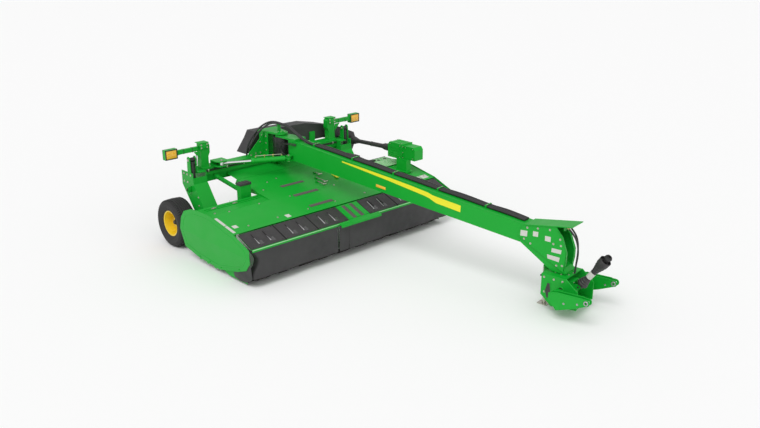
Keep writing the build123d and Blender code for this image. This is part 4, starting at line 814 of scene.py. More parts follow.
    def tube(self, points: list[Vector], radius: float, name: str, look: Finish) -> tuple[Piece, list[Vector]]:
        """Make a hose as a mesh that can bend between two bodies.

        Args:
            points: The control points of its line.
            radius: The hose's radius.
            name: Its plain name.
            look: Its finish.

        Returns:
            The tube, which rides on nothing yet, and the points of its line.
        """
        guide = self.spline(points, f"{name}_line")
        bare = bpy.data.meshes.new_from_object(guide)
        line = [vertex.co.copy() for vertex in bare.vertices]
        guide.data.bevel_depth = radius
        guide.data.bevel_resolution = 5
        guide.data.use_fill_caps = True
        skin = bpy.data.meshes.new_from_object(guide)
        bpy.data.objects.remove(guide)
        obj = self.link(name, skin)
        self.outward(obj)
        self.smooth(obj, 60)
        skin.name = name
        skin.materials.clear()
        skin.materials.append(look.material())
        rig.slot(obj, look.slot.value)
        self.count += 1
        LOG.info("%s bends across a joint", name)
        return obj, line

    def bolt(self, place: Vector, out: Vector, size: float) -> Piece:
        """Add a bolt: a washer and a six-sided head.

        Args:
            place: Where it sits on the surface.
            out: The way its head points.
            size: Half the head's width.

        Returns:
            The bolt.
        """
        if size not in self.heads:
            washer = self.bar(UP * -0.001, UP * size * 0.25, size * 1.5, 20, size * 0.08)
            head = self.bar(ORIGIN, UP * size * 0.95, size, 6, size * 0.14)
            first = self.join([washer, head])
            self.heads[size] = first.data.copy()
            bpy.data.objects.remove(first)
        skin = self.heads[size].copy()
        self.stand(skin, place, out.normalized())
        return self.link("bolt", skin)

    def plate(self, corners: list[Vector], out: Vector, thickness: float, bevel: float = 0.0) -> Piece:
        """Add a flat plate: a filled ring whose corners are moved, then extruded.

        Args:
            corners: The outline, in the part's frame.
            out: The way it gets its thickness.
            thickness: How thick it is.
            bevel: The width of its rounded edges.

        Returns:
            The plate.
        """
        self.clear()
        bpy.ops.mesh.primitive_circle_add(vertices=len(corners), fill_type="NGON")
        obj = bpy.context.object
        for vertex, corner in zip(obj.data.vertices, corners):
            vertex.co = corner
        self.edit(obj)
        bpy.ops.mesh.extrude_region_move(
            TRANSFORM_OT_translate={"value": tuple(out.normalized() * thickness)}
        )
        bpy.ops.object.mode_set(mode="OBJECT")
        self.outward(obj)
        if bevel > 0:
            self.bevel(obj, bevel)
        self.smooth(obj)
        return obj


BENCH = Bench()


@dataclass
class Studio:
    """Pale floor, soft lights and the camera.

    Attributes:
        turn_deg: The camera's turn about the upright.
        tilt_deg: How far it looks down.
        lens_mm: Its focal length on a sensor 36 mm wide.
        stand: Its place, in machine axes.
        floor_size: The floor's side.
        skylight: Strength of the sky's light.
    """

    turn_deg: float = -43.8
    tilt_deg: float = 19.0
    lens_mm: float = 39.17
    stand: Triple = (-8.337, -9.165, 4.93)
    floor_size: float = 240.0
    skylight: float = 0.62

    def build(self) -> None:
        """Set up everything that isn't part of the machine."""
        self.floor()
        self.world()
        self.lights()
        self.camera()
        bpy.context.scene.view_settings.view_transform = "Standard"

    def floor(self) -> None:
        """Add the pale floor that keeps the machine's shadow."""
        BENCH.clear()
        bpy.ops.mesh.primitive_plane_add(size=self.floor_size, location=(0, 0, -0.001))
        plane = bpy.context.object
        plane.name = "studio_floor"
        pale = bpy.data.materials.new("studio_floor")
        pale.use_nodes = True
        shader = pale.node_tree.nodes["Principled BSDF"]
        shader.inputs["Base Color"].default_value = (0.93, 0.93, 0.93, 1.0)
        shader.inputs["Roughness"].default_value = 0.9
        shader.inputs["Specular IOR Level"].default_value = 0.1
        plane.data.materials.append(pale)
        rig.stage(plane)

    def world(self) -> None:
        """Light the scene evenly from a pale sky that shows white."""
        sky = bpy.data.worlds.new("studio_sky")
        bpy.context.scene.world = sky
        sky.use_nodes = True
        tree = sky.node_tree
        light, shown = tree.nodes["Background"], tree.nodes.new("ShaderNodeBackground")
        for node, strength in ((light, self.skylight), (shown, 1.0)):
            node.inputs["Color"].default_value = (1.0, 1.0, 1.0, 1.0)
            node.inputs["Strength"].default_value = strength
        rays = tree.nodes.new("ShaderNodeLightPath")
        seen = tree.nodes.new("ShaderNodeMath")
        seen.operation = "MAXIMUM"
        tree.links.new(rays.outputs["Is Camera Ray"], seen.inputs[0])
        tree.links.new(rays.outputs["Is Transmission Ray"], seen.inputs[1])
        mix = tree.nodes.new("ShaderNodeMixShader")
        tree.links.new(seen.outputs["Value"], mix.inputs["Fac"])
        tree.links.new(light.outputs["Background"], mix.inputs[1])
        tree.links.new(shown.outputs["Background"], mix.inputs[2])
        tree.links.new(mix.outputs["Shader"], tree.nodes["World Output"].inputs["Surface"])

    def lights(self) -> None:
        """Add a broad key light and a weaker fill."""
        for name, power, width, tilt, turn in (
            ("key_light", 1.35, 35.0, 38.0, -70.0),
            ("fill_light", 0.45, 60.0, 55.0, -5.0),
        ):
            lamp = bpy.data.lights.new(name, "SUN")
            lamp.energy = power
            lamp.angle = math.radians(width)
            BENCH.link(name, lamp).rotation_euler = (math.radians(tilt), 0.0, math.radians(turn))

    def camera(self) -> None:
        """Place the camera at the photograph's view."""
        lens = bpy.data.cameras.new("photo_view")
        lens.lens = self.lens_mm
        lens.sensor_width = 36.0
        lens.clip_end = 500.0
        eye = BENCH.link("photo_view", lens)
        eye.location = machine(*self.stand)
        eye.rotation_euler = (math.radians(90 - self.tilt_deg), 0.0, math.radians(self.turn_deg))
        bpy.context.scene.camera = eye


@dataclass
class Paintwork:
    """The finish of each CAD node that shows as it is.

    Attributes:
        looks: Finish of every node, by name or by the start of its name.
    """

    looks: dict[str, Finish] = field(default_factory=lambda: {
        "cutterbar": CAST_IRON,
        "cutting_disc": BARE_STEEL,
        "impeller_rotor": BLACK_GLOSS,
        "door_panels": MOULDED_PLASTIC,
        "centre_grille": BLACK_GLOSS,
        "curtain": CURTAIN_RUBBER,
        "driveline_shroud": MOULDED_PLASTIC,
        "header_drive_shaft": MOULDED_PLASTIC,
        "float_springs": BLACK_GLOSS,
        "pivot_drum": BLACK_GLOSS,
        "hose": HOSE_RUBBER,
        "front_hoses": HOSE_RUBBER,
        "tyre": TYRE_RUBBER,
        "rim": RIM_YELLOW,
        "lift_barrel": BLACK_GLOSS,
        "lift_rod": CHROME,
        "swing_rod": CHROME,
        "pto_shaft": MOULDED_PLASTIC,
        "pto_yoke": CAST_IRON,
        "jack_leg": ZINC,
        "grip_strips": GRIP_GREY,
        "step_plate": GRIP_PAINT,
        "lamp_lenses": RED_LENS,
    })

    def dress(self) -> None:
        """Give every CAD node its finish, leaf green where none is named."""
        for name, node in frame["nodes"].items():
            look = LEAF_GREEN
            for start, named in self.looks.items():
                if name.startswith(start):
                    look = named
            if not node.data.materials:
                node.data.materials.append(look.material())
            for index in range(len(node.data.materials)):
                node.data.materials[index] = look.material()
            LOG.info("%s is finished in %s", name, look.name)


@dataclass
class Curtains:
    """The rubber curtains that hang from the front doors.

    Attributes:
        end_x: The outer end of the front run, from the middle of the machine.
        side_y: How far back the side return reaches, in machine axes.
        corner: The radius of the fold at the end.
        thick: The rubber's thickness.
        step: The distance between points across the sheet.
        rows: Points down the sheet.
        wave: How far the lower edge waves.
        seam: Where the two right curtains part.
        split: Half the gap between them.
        tuck: How far the end of a front run is drawn in at half height.
        fade: The length over which a front run is drawn in.
        low: The share of its height over which it is drawn in.
    """

    end_x: float = 2.077
    side_y: float = 0.12
    corner: float = 0.045
    thick: float = 0.005
    step: float = 0.02
    rows: int = 26
    wave: float = 0.009
    seam: float = -0.45
    split: float = 0.02
    tuck: float = 0.11
    fade: float = 0.22
    low: float = 0.86

    def build(self) -> None:
        """Hang the left curtain and the two right ones."""
        left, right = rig.box("curtain_left"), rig.box("curtain_right")
        inner = left[0].x
        self.sheet("curtain_sheet_left", (inner, self.end_x), 1, left, "door_left", 0.4)
        self.sheet("curtain_sheet_right", (self.seam - self.split, -self.end_x), -1, right, "door_right", 1.7)
        self.sheet("curtain_sheet_middle", (self.seam + self.split, inner - 0.001), 0, right, "door_right", 2.9)

    def path(self, start: float, end: float, side: int, front: float) -> list[tuple[Vector, Vector]]:
        """Return points and outward directions along the curtain's top.

        Args:
            start: Where the front run starts.
            end: Where it ends.
            side: 1 where it turns back on the left, -1 on the right, 0 where it doesn't.
            front: The front face, in the part's frame.

        Returns:
            Each point, with the way the sheet faces there.
        """
        toward = 1 if end > start else -1
        out = Vector((0, -1, 0))
        run_end = end - side * self.corner if side else end
        count = max(2, int(abs(run_end - start) / self.step))
        line = [
            (Vector((start + (run_end - start) * i / count, front, 0)), out.copy())
            for i in range(count + 1)
        ]
        if not side:
            return line
        turns = 6
        for i in range(1, turns + 1):
            angle = math.pi / 2 * i / turns
            facing = Vector((toward * math.sin(angle), -math.cos(angle), 0))
            middle = Vector((run_end, front + self.corner, 0))
            line.append((middle + facing * self.corner, facing))
        back = machine(0, self.side_y, 0).y
        length = back - (front + self.corner)
        count = max(2, int(length / self.step))
        for i in range(1, count + 1):
            line.append((Vector((end, front + self.corner + length * i / count, 0)),
                         Vector((toward, 0, 0))))
        return line

    def sheet(
        self, name: str, run: Pair, side: int, box: tuple[Vector, Vector], body: str, phase: float
    ) -> None:
        """Model one hanging curtain as a thin rubber sheet.

        Args:
            name: The piece's name.
            run: Where its front run starts and ends.
            side: Which way it turns back, 0 for not at all.
            box: The CAD curtain's lowest and highest corner.
            body: The door it rides on.
            phase: Shifts its waves, so that no two curtains match.
        """
        low, high = box
        end = run[1]
        line = self.path(*run, side, low.y + self.thick / 2)
        width = sum((b[0] - a[0]).length for a, b in zip(line, line[1:]))
        height = high.z - low.z
        BENCH.clear()
        bpy.ops.mesh.primitive_grid_add(
            x_subdivisions=len(line) - 1, y_subdivisions=self.rows - 1, size=1,
        )
        obj = bpy.context.object
        along = 0.0
        for column, (point, out) in enumerate(line):
            if column:
                along += (point - line[column - 1][0]).length
            for row in range(self.rows):
                down = row / (self.rows - 1)
                sway = math.sin(along * 5.3 + phase) + 0.6 * math.sin(along * 11.7 + 2 * phase)
                ripple = 0.22 * math.sin(along * 31 + down * 7 + phase)
                proud = self.wave * down ** 1.6 * (sway + ripple - 0.4)
                place = point + out * proud
                if side:
                    near = max(0.0, 1.0 - max(0.0, abs(end) - abs(point.x) - self.corner) / self.fade)
                    lens = math.sin(math.pi * down / self.low) ** 1.3 if down < self.low else 0.0
                    place.x -= math.copysign(self.tuck * near ** 2 * lens, end)
                vertex = obj.data.vertices[row * len(line) + column]
                vertex.co = (place.x, place.y, high.z - height * down)
        BENCH.outward(obj)
        BENCH.pick(obj)
        wall = obj.modifiers.new("rubber", "SOLIDIFY")
        wall.thickness = self.thick
        wall.offset = 0.0
        bpy.ops.object.modifier_apply(modifier=wall.name)
        BENCH.smooth(obj, 50)
        BENCH.finish(obj, name, CURTAIN_RUBBER, body)
        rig.sheet(obj, flat=(width, height), held="hung", rests_on=[f"front_{body}"])
        if side:
            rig.replaces(obj, f"curtain_{body.removeprefix('door_')}")


@dataclass
class Wheel:
    """One wheel: its lugged flotation tyre and the trim of its rim.

    Attributes:
        name: left or right.
        side: 1 on the left, -1 on the right.
        tread: The tread's mean radius.
        lugs: Lugs round each half of the tread.
        nuts: Wheel nuts.
        bolt_circle: How far the nuts lie from the axle.
    """

    name: str
    side: int
    tread: float = 0.39
    lugs: int = 64
    nuts: int = 8
    bolt_circle: float = 0.128

    def build(self) -> None:
        """Model the tyre and the rim's trim."""
        self.tyre()
        self.trim()

    def middle(self) -> Vector:
        """Return the wheel's middle."""
        low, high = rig.box(f"tyre_{self.name}")
        return (low + high) / 2

    def turned(self, profiles: list[Outline], way: int, steps: int) -> Piece:
        """Turn profiles round the axle and move them to the wheel's middle.

        Args:
            profiles: (radius, along the axle) corners of each profile.
            way: 1 where they are measured to the left, -1 to the right.
            steps: Facets round the axle.

        Returns:
            The turned piece.
        """
        obj = BENCH.join([BENCH.lathe(profile, ORIGIN, Vector((way, 0, 0)), steps) for profile in profiles])
        obj.data.transform(Matrix.Translation(self.middle()))
        BENCH.smooth(obj)
        return obj

    def tyre(self) -> None:
        """Turn the carcass and set the lugs round it."""
        half = [
            (0.2046, 0.112), (0.214, 0.131), (0.226, 0.14), (0.236, 0.1455), (0.24, 0.15),
            (0.247, 0.1505), (0.251, 0.148), (0.268, 0.156), (0.3, 0.1632), (0.318, 0.1638),
            (0.322, 0.165), (0.331, 0.1646), (0.335, 0.1618), (0.352, 0.1535), (0.368, 0.142),
            (0.378, 0.128), (0.3865, 0.112), (0.3885, 0.1), (0.379, 0.0965), (0.379, 0.0895),
            (0.3905, 0.086), (0.3918, 0.062), (0.3805, 0.0585), (0.3805, 0.0515), (0.3928, 0.048),
            (0.3938, 0.024), (0.3815, 0.0205), (0.3815, 0.0135), (0.3945, 0.01),
        ]
        profile = half + [(radius, -across) for radius, across in reversed(half)]
        carcass = BENCH.lathe(profile, ORIGIN, Vector((1, 0, 0)), 96)
        tyre = BENCH.join([carcass, *(self.lug(hand) for hand in HANDS)])
        tyre.data.transform(Matrix.Translation(self.middle()))
        BENCH.smooth(tyre, 28)
        BENCH.finish(tyre, f"lugged_tyre_{self.name}", TYRE_RUBBER, f"wheel_{self.name}")
        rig.replaces(tyre, f"tyre_{self.name}")

    def lug(self, hand: int) -> Piece:
        """Model one lug, bend it to the tread and copy it round.

        Args:
            hand: Which half of the tread it is on.

        Returns:
            All the lugs of that half.
        """
        BENCH.clear()
        bpy.ops.mesh.primitive_cube_add(size=1, location=(hand * 0.112, 0, 0.3815))
        lug = bpy.context.object
        lug.scale = (0.022, 0.019, 0.013)
        BENCH.settle(lug)
        BENCH.edit(lug)
        bpy.ops.mesh.subdivide(number_cuts=2)
        bpy.ops.object.mode_set(mode="OBJECT")
        for face in lug.data.polygons:
            face.select = face.normal.x * hand > 0.9
        bpy.ops.object.mode_set(mode="EDIT")
        bpy.ops.mesh.select_mode(type="FACE")
        bpy.ops.mesh.extrude_region_move(TRANSFORM_OT_translate={"value": (hand * 0.022, 0.0, -0.017)})
        bpy.ops.object.mode_set(mode="OBJECT")
        skew = 0.3
        shift = 0.5 * math.pi / self.lugs * (1 + hand)
        for vertex in lug.data.vertices:
            across, along, high = vertex.co
            along += skew * abs(across) * 0.5
            angle = along / self.tread + shift
            vertex.co = (across, -high * math.sin(angle), high * math.cos(angle))
        BENCH.bevel(lug, 0.002, 1)
        BENCH.around(lug, self.lugs, Vector((1, 0, 0)))
        return lug

    def trim(self) -> None:
        """Add the rim's flanges, hub cap, nuts and valve."""
        body, middle = f"wheel_{self.name}", self.middle()
        edge = (
            (0.1925, 0.1175), (0.2135, 0.1175), (0.217, 0.1215), (0.216, 0.1262), (0.211, 0.127),
            (0.204, 0.1225), (0.1925, 0.1225),
        )
        flange = self.turned([[(radius, hand * along) for radius, along in edge] for hand in HANDS], 1, 80)
        BENCH.finish(flange, f"rim_flange_{self.name}", RIM_YELLOW, body)
        dome = (
            (0, 0.066), (0.018, 0.0655), (0.029, 0.062), (0.034, 0.054), (0.035, 0.036),
            (0.046, 0.034), (0.049, 0.03), (0, 0.0305),
        )
        BENCH.finish(self.turned([dome], self.side, 40), f"hub_cap_{self.name}", BLACK_GLOSS, body)
        out = Vector((self.side, 0, 0))
        nuts = []
        for across, high in ring(self.nuts):
            seat = middle + Vector((0, across, high)) * self.bolt_circle + out * -0.0125
            nuts += [BENCH.bolt(seat, out, 0.0135), BENCH.bar(seat, seat + out * 0.024, 0.0068, 12, 0.001)]
        BENCH.group(nuts, f"wheel_nuts_{self.name}", ZINC, body)
        stem = middle + Vector((self.side * -0.014, 0.05, 0.156))
        valve = BENCH.bar(stem, stem + Vector((self.side * 0.034, 0, -0.012)), 0.0045, 12, 0.001)
        BENCH.finish(valve, f"valve_{self.name}", BLACK_GLOSS, body)


@dataclass
class Tongue:
    """Stripe, reflectors, clamp bolts and weld beads of the tongue.

    Attributes:
        half: Half the tongue's width.
        rear_top: The height of its top face at start.
        start: Where its straight top starts, ahead of the pivot.
        slope: How its top rises ahead.
        end: Where it ends.
        clamps: Distances ahead of the pivot at which clamps hold the hoses.
    """

    half: float = 0.125
    rear_top: float = 1.59
    start: float = 0.29
    slope: float = -0.10263
    end: float = 4.79
    clamps: tuple[float, ...] = (0.8, 1.64, 2.48, 3.32, 4.16)

    def top(self, s: float) -> float:
        """Return the height of the tongue's top face at s."""
        return self.rear_top + (s - self.start) * self.slope

    def build(self) -> None:
        """Model all the tongue's trim."""
        for side, name in ((-1, "right"), (1, "left")):
            self.stripe(side, name)
        self.reflectors()
        self.clamp_bolts()
        self.seams()

    def stripe(self, side: int, name: str) -> None:
        """Lay the tapered yellow stripe on one side.

        Args:
            side: 1 on the left, -1 on the right.
            name: left or right.
        """
        outline = (
            (1.5, 1.434), (1.86, 1.4035), (2.47, 1.343), (2.916, 1.292), (3.203, 1.252),
            (3.3, 1.224), (3.796, 1.17), (3.79, 1.071), (3.357, 1.118), (3.24, 1.166),
            (3.15, 1.188), (2.916, 1.222), (2.47, 1.288), (1.86, 1.367), (1.5, 1.414),
        )
        off = side * (self.half + 0.0002)
        out = tongue(0, side, 0) - tongue(0, 0, 0)
        plate = BENCH.plate([tongue(s, off, z) for s, z in outline], out, 0.0012)
        BENCH.finish(plate, f"stripe_{name}", STRIPE_YELLOW, "tongue")

    def reflectors(self) -> None:
        """Add an amber reflector low on each side."""
        made = []
        tilt = Matrix.Rotation(-math.atan(self.slope), 4, AXES.across())
        for side in HANDS:
            middle = tongue(2.306, side * (self.half + 0.0035), 1.16)
            lens = BENCH.box(middle, (0.007, 0.19, 0.042), 0.002, math.radians(AXES.tongue_deg))
            BENCH.pick(lens)
            lens.data.transform(Matrix.Translation(middle) @ tilt @ Matrix.Translation(-middle))
            made.append(lens)
        BENCH.group(made, "tongue_reflectors", AMBER_LENS, "tongue")

    def clamp_bolts(self) -> None:
        """Add two bolts on each clamp."""
        BENCH.group([
            BENCH.bolt(tongue(s, off, self.top(s) + 0.0405), UP, 0.007)
            for s in self.clamps for off in (-0.0035, 0.0625)
        ], "clamp_bolts", ZINC, "tongue")

    def seams(self) -> None:
        """Lay weld beads where the top and bottom sheets meet the sides."""
        beads = []
        for off in (-self.half, self.half):
            beads += BENCH.beads([tongue(s, off, self.top(s)) for s in (0.47, 4.84)])
            beads += BENCH.beads([tongue(0.3, off, 1.2645), tongue(4.785, off, 0.8625)])
        BENCH.group(beads, "tongue_weld_beads", LEAF_GREEN, "tongue")


@dataclass
class Hoses:
    """Hydraulic hoses along the tongue, over the pivot and before the gooseneck.

    Attributes:
        radius: Radius of the hoses on the tongue.
        thin: Radius of the hoses before the gooseneck.
        off: How far the first hose lies left of the tongue's middle.
        pitch: The distance from hose to hose.
        join_s: Where the hoses on the tongue meet those over the pivot.
        lift: How high a hose's line lies over the tongue.
    """

    radius: float = 0.016
    thin: float = 0.012
    off: float = -0.02
    pitch: float = 0.033
    join_s: float = 0.79
    lift: float = 0.017

    def build(self) -> None:
        """Lay all hoses."""
        self.run()
        self.arch()
        self.front()

    def on(self, s: float, off: float, slack: float = 0.0) -> Vector:
        """Return a point of a hose's line on the tongue's top."""
        return tongue(s, off, Tongue().top(s) + self.lift + slack)

    def run(self) -> None:
        """Lay the four hoses that the clamps hold, a little slack between them."""
        stops = [*Tongue().clamps, Tongue().end]
        for index, sway in enumerate((0.004, -0.003, 0.003, 0.005)):
            off = self.off + index * self.pitch
            points = [self.on(self.join_s if index < 2 else 0.73, off)]
            for low, high in zip(stops, stops[1:]):
                points.append(self.on(low + (high - low) * 0.04, off))
                for share, slack in ((0.3, 0.004), (0.5, 0.006), (0.7, 0.004)):
                    points.append(self.on(low + (high - low) * share, off + sway, slack * (1 + index % 2)))
            points.append(self.on(stops[-1], off))
            hose = BENCH.hose(points, self.radius, f"tongue_hose_{index + 1}", HOSE_RUBBER, "tongue")
            if index == 0:
                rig.replaces(hose, "hose_run")

    def bend(
        self, points: list[Vector], radius: float, name: str, far: str, start: Vector, end: Vector
    ) -> Piece:
        """Make a hose that bends between the tongue and another body.

        Args:
            points: Its control points.
            radius: Its radius.
            name: Its name.
            far: The other body.
            start: Where it leaves the tongue.
            end: Where it is held by the other body.

        Returns:
            The hose.
        """
        tube, line = BENCH.tube(points, radius, name, HOSE_RUBBER)
        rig.blend(tube, "tongue", far, start, end)
        length = sum((after - before).length for before, after in zip(line, line[1:]))
        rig.cord(
            tube, exit=line[0], length=length, diameter=2 * radius,
            far_end="object", stiffness="stiff", lay="hanging", path=line,
        )
        return tube

    def arch(self) -> None:
        """Bend two hoses over the pivot, from the tongue to the frame."""
        rise = ((0.58, 1.59), (0.445, 1.647), (0.325, 1.706), (0.215, 1.762), (0.11, 1.797), (0.015, 1.8))
        falls = (
            (
                (-0.017, 1.98, 1.8), (-0.025, 2.05, 1.802), (-0.06, 2.11, 1.8), (-0.125, 2.15, 1.785),
                (-0.21, 2.18, 1.74), (-0.295, 2.212, 1.66), (-0.365, 2.245, 1.555), (-0.418, 2.28, 1.44),
                (-0.44, 2.305, 1.34), (-0.44, 2.305, 1.262),
            ),
            (
                (0.017, 1.98, 1.8), (0.014, 2.06, 1.806), (-0.02, 2.13, 1.814), (-0.085, 2.18, 1.812),
                (-0.18, 2.215, 1.778), (-0.28, 2.245, 1.71), (-0.37, 2.272, 1.61), (-0.44, 2.3, 1.49),
                (-0.48, 2.325, 1.375), (-0.48, 2.325, 1.262),
            ),
        )
        for index, fall in enumerate(falls):
            off = self.off + index * self.pitch
            points = [self.on(self.join_s, off), self.on(0.72, off)]
            points += [tongue(s, off, z) for s, z in rise] + [machine(*place) for place in fall]
            tube = self.bend(points, self.radius, f"arch_hose_{index + 1}", "chassis",
                             tongue(0.48, 0, 1.7), tongue(-0.3, 0, 1.7))
            if index == 0:
                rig.replaces(tube, "hose_arch")

    def front(self) -> None:
        """Hang two hoses before the gooseneck, from its top down to the hitch."""
        routes = (
            (
                (-0.035, 5.445, 1.192), (-0.036, 5.549, 1.105), (-0.038, 5.6, 1.01), (-0.038, 5.622, 0.9),
                (-0.035, 5.618, 0.79), (-0.031, 5.6, 0.69), (-0.028, 5.59, 0.57),
            ),
            (
                (0.028, 5.445, 1.192), (0.028, 5.535, 1.11), (0.027, 5.574, 1.01), (0.026, 5.588, 0.9),
                (0.027, 5.585, 0.79), (0.029, 5.574, 0.69), (0.03, 5.57, 0.572),
            ),
        )
        for index, route in enumerate(routes):
            points = [tongue(s, off, z) for off, s, z in route]
            tube = self.bend(points, self.thin, f"front_hose_{index + 1}", "hitch",
                             points[1], points[-1] + UP * 0.04)
            if index == 0:
                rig.replaces(tube, "front_hoses")


@dataclass
class Deck:
    """Fasteners, latches and small plates of the header's deck and doors.

    Attributes:
        half: Half the width of the raised middle.
        front: (y, z) of the deck's front edge.
        crease: (y, z) where the front slope ends.
        rear_side: (y, z) of the side decks' rear edge.
        rear_middle: (y, z) of the raised middle's rear edge.
        lip: (y, z) of the doors' front edge.
        hinge: (y, z) of the doors' rear edge.
        notch: Half the width left open for the upper link.
        panels: Where a door's moulded panels start and end, from the middle.
    """

    half: float = 1.0
    front: Pair = (0.36, 0.76)
    crease: Pair = (1.0, 0.89)
    rear_side: Pair = (1.33, 0.9)
    rear_middle: Pair = (1.9, 1.03)
    lip: Pair = (-0.02, 0.612)
    hinge: Pair = (0.345, 0.754)
    notch: float = 0.055
    panels: Pair = (0.23, 2.08)

    def height(self, x: float, y: float) -> float:
        """Find the height of the deck's top face.

        Args:
            x: How far left of the machine's middle.
            y: How far behind the header's lip.

        Returns:
            The height there.
        """
        if y <= self.crease[0]:
            low, high = self.front, self.crease
        elif abs(x) < self.half:
            low, high = self.crease, self.rear_middle
        else:
            low, high = self.crease, self.rear_side
        return low[1] + (y - low[0]) * (high[1] - low[1]) / (high[0] - low[0])

    def out(self, x: float, y: float) -> Vector:
        """Return the deck's outward direction at a machine place."""
        rise = self.height(x, y + 0.01) - self.height(x, y - 0.01)
        return Vector((0, -rise / 0.02, 1)).normalized()

    def on(self, x: float, y: float, lift: float = 0.0) -> Vector:
        """Return a place on the deck in the part's frame."""
        return machine(x, y, self.height(x, y)) + self.out(x, y) * lift

    def on_door(self, x: float, share: float, lift: float = 0.0) -> Vector:
        """Find a place on a door.

        Args:
            x: How far left of the machine's middle.
            share: The share of the door's depth, from its front.
            lift: How far out of its face.

        Returns:
            The place, in the part's frame.
        """
        run = Vector((0, self.hinge[0] - self.lip[0], self.hinge[1] - self.lip[1]))
        out = Vector((0, -run.z, run.y)).normalized()
        return machine(x, self.lip[0] + run.y * share, self.lip[1] + run.z * share) + out * lift

    def out_door(self, x: float = 0.0, share: float = 0.5) -> Vector:
        """Return a door's outward direction."""
        return self.on_door(x, share, 1.0) - self.on_door(x, share)

    def build(self) -> None:
        """Model all the deck's small parts."""
        self.fasteners()
        self.rails()
        self.latches()
        self.plates()
        self.strips()
        for side, name in SIDES:
            self.panel_trim(side, name)
        self.seams()
        self.rear_sheet()

    def rear_sheet(self) -> None:
        """Carry the raised middle on under the beam, open for the upper link."""
        near, deep, edge = 1.886, 2.08, 2.222
        notch, inward = self.notch, -self.out(0.5, 1.8)
        outline = ((-0.985, near), (-0.985, 2.17), (-0.94, edge), (-notch, edge), (-notch, deep))
        bridge = [self.on(x, y, 0.0035) for x, y in ((-notch, near), (notch, near), (notch, deep), (-notch, deep))]
        made = [BENCH.plate(bridge, inward, 0.003)]
        made += BENCH.beads([self.on(-notch, deep, 0.001), self.on(notch, deep, 0.001)], 0.005, 10)
        for hand in HANDS:
            corners = [self.on(hand * x, y, 0.0035) for x, y in (*outline, (-notch, near))]
            made.append(BENCH.plate(corners, inward, 0.003))
            made += BENCH.beads([self.on(hand * x, y, 0.001) for x, y in outline], 0.005, 10)
        BENCH.group(made, "deck_rear_sheet", LEAF_GREEN)

    def fasteners(self) -> None:
        """Set the bolts that show over the deck and along its front edge."""
        seen = (
            (-0.623, 1.572), (-0.863, 1.354), (-0.397, 1.628), (-0.63, 0.958), (-1.223, 0.974),
            (-0.648, 0.482), (-1.238, 0.485), (-0.094, 0.478), (0.284, 0.941), (-2.0, 1.028),
            (-1.78, 0.482), (-1.78, 0.974), (0.56, 0.482), (1.15, 0.482), (1.15, 0.974),
            (1.52, 0.482), (1.99, 0.482), (1.99, 0.974), (0.623, 1.572), (0.863, 1.354),
        )
        BENCH.group([BENCH.bolt(self.on(x, y), self.out(x, y), 0.011) for x, y in seen], "deck_bolts", ZINC)

    def rails(self) -> None:
        """Lay the rail behind each side deck, with its two bright latch plates."""
        rails = []
        plates = []
        for side, start, end in ((-1, 1.04, 2.04), (1, 1.04, 1.56)):
            middle = side * (start + end) / 2
            rails.append(BENCH.box(self.on(middle, 1.255, 0.005), (end - start, 0.026, 0.012)))
            rails.append(BENCH.box(self.on(middle, 1.19, 0.004), (end - start, 0.012, 0.01)))
            for share in (0.15, 0.53):
                x = side * (end - (end - start) * share)
                plates.append(BENCH.box(self.on(x, 1.222, 0.006), (0.085, 0.03, 0.014)))
                plates.append(BENCH.bolt(self.on(x, 1.222, 0.013), self.out(x, 1.222), 0.01))
        BENCH.group(rails, "deck_rails", LEAF_GREEN)
        BENCH.group(plates, "deck_rail_plates", ZINC)

    def latches(self) -> None:
        """Add the door latches' levers beside the tongue."""
        rods = []
        feet = []
        aside = Vector((0.045, 0, 0))
        for x, y, reach in ((0.19, 1.3, 0.23), (0.105, 1.17, 0.17), (0.31, 1.48, 0.12)):
            foot, out = self.on(x, y), self.out(x, y)
            tip = self.on(x + 0.02, y - reach, 0.03)
            prop = (x + 0.016, y - reach * 0.8)
            feet.append(BENCH.box(foot + out * 0.012, (0.046, 0.034, 0.026), 0.004))
            rods += [
                BENCH.bar(foot + out * 0.02, tip, 0.008, 14), BENCH.bar(tip - aside, tip + aside, 0.009, 14),
                BENCH.bar(self.on(*prop), self.on(*prop, 0.026), 0.007, 12),
            ]
        BENCH.group(rods, "latch_levers", ZINC)
        BENCH.group(feet, "latch_feet", LEAF_GREEN)
        strap = BENCH.box(self.on(0.545, 1.225, 0.007), (0.052, 0.236, 0.014), 0.003, math.radians(-14))
        BENCH.finish(strap, "latch_strap", STRIPE_YELLOW)

    def plates(self) -> None:
        """Lay the plain plates at the deck's end and by the doors."""
        made = []
        for left, right, back, front in (
            (-2.104, -2.056, 0.89, 0.64), (-2.104, -2.056, 0.625, 0.405), (-2.01, -1.93, 0.59, 0.51),
            (-1.108, -1.025, 0.495, 0.412), (1.8, 1.88, 0.52, 0.43), (1.9, 2.05, 0.52, 0.41),
        ):
            corners = [self.on(x, y) for x, y in ((left, back), (right, back), (right, front), (left, front))]
            made.append(BENCH.plate(corners, self.out(left, back), 0.0012))
        BENCH.group(made, "deck_bare_plates", PALE_PLATE)

    def strips(self) -> None:
        """Lay two rough dark grey strips over the slots of the grille between the doors; their darkness is painted
        shade in the open slots.
        """
        made = []
        # The strips fill the gaps between the grille's bars, and their dark grey paints the shade in those slots.
        for low, high in ((-0.12, -0.04), (0.04, 0.12)):
            corners = ((low, 0.08), (high, 0.08), (high, 0.93), (low, 0.93))
            strip = [self.on_door(x, share, 0.0004) for x, share in corners]
            made.append(BENCH.plate(strip, self.out_door(), 0.0024))
        BENCH.group(made, "grille_strips", GRIP_GREY, "door_left")

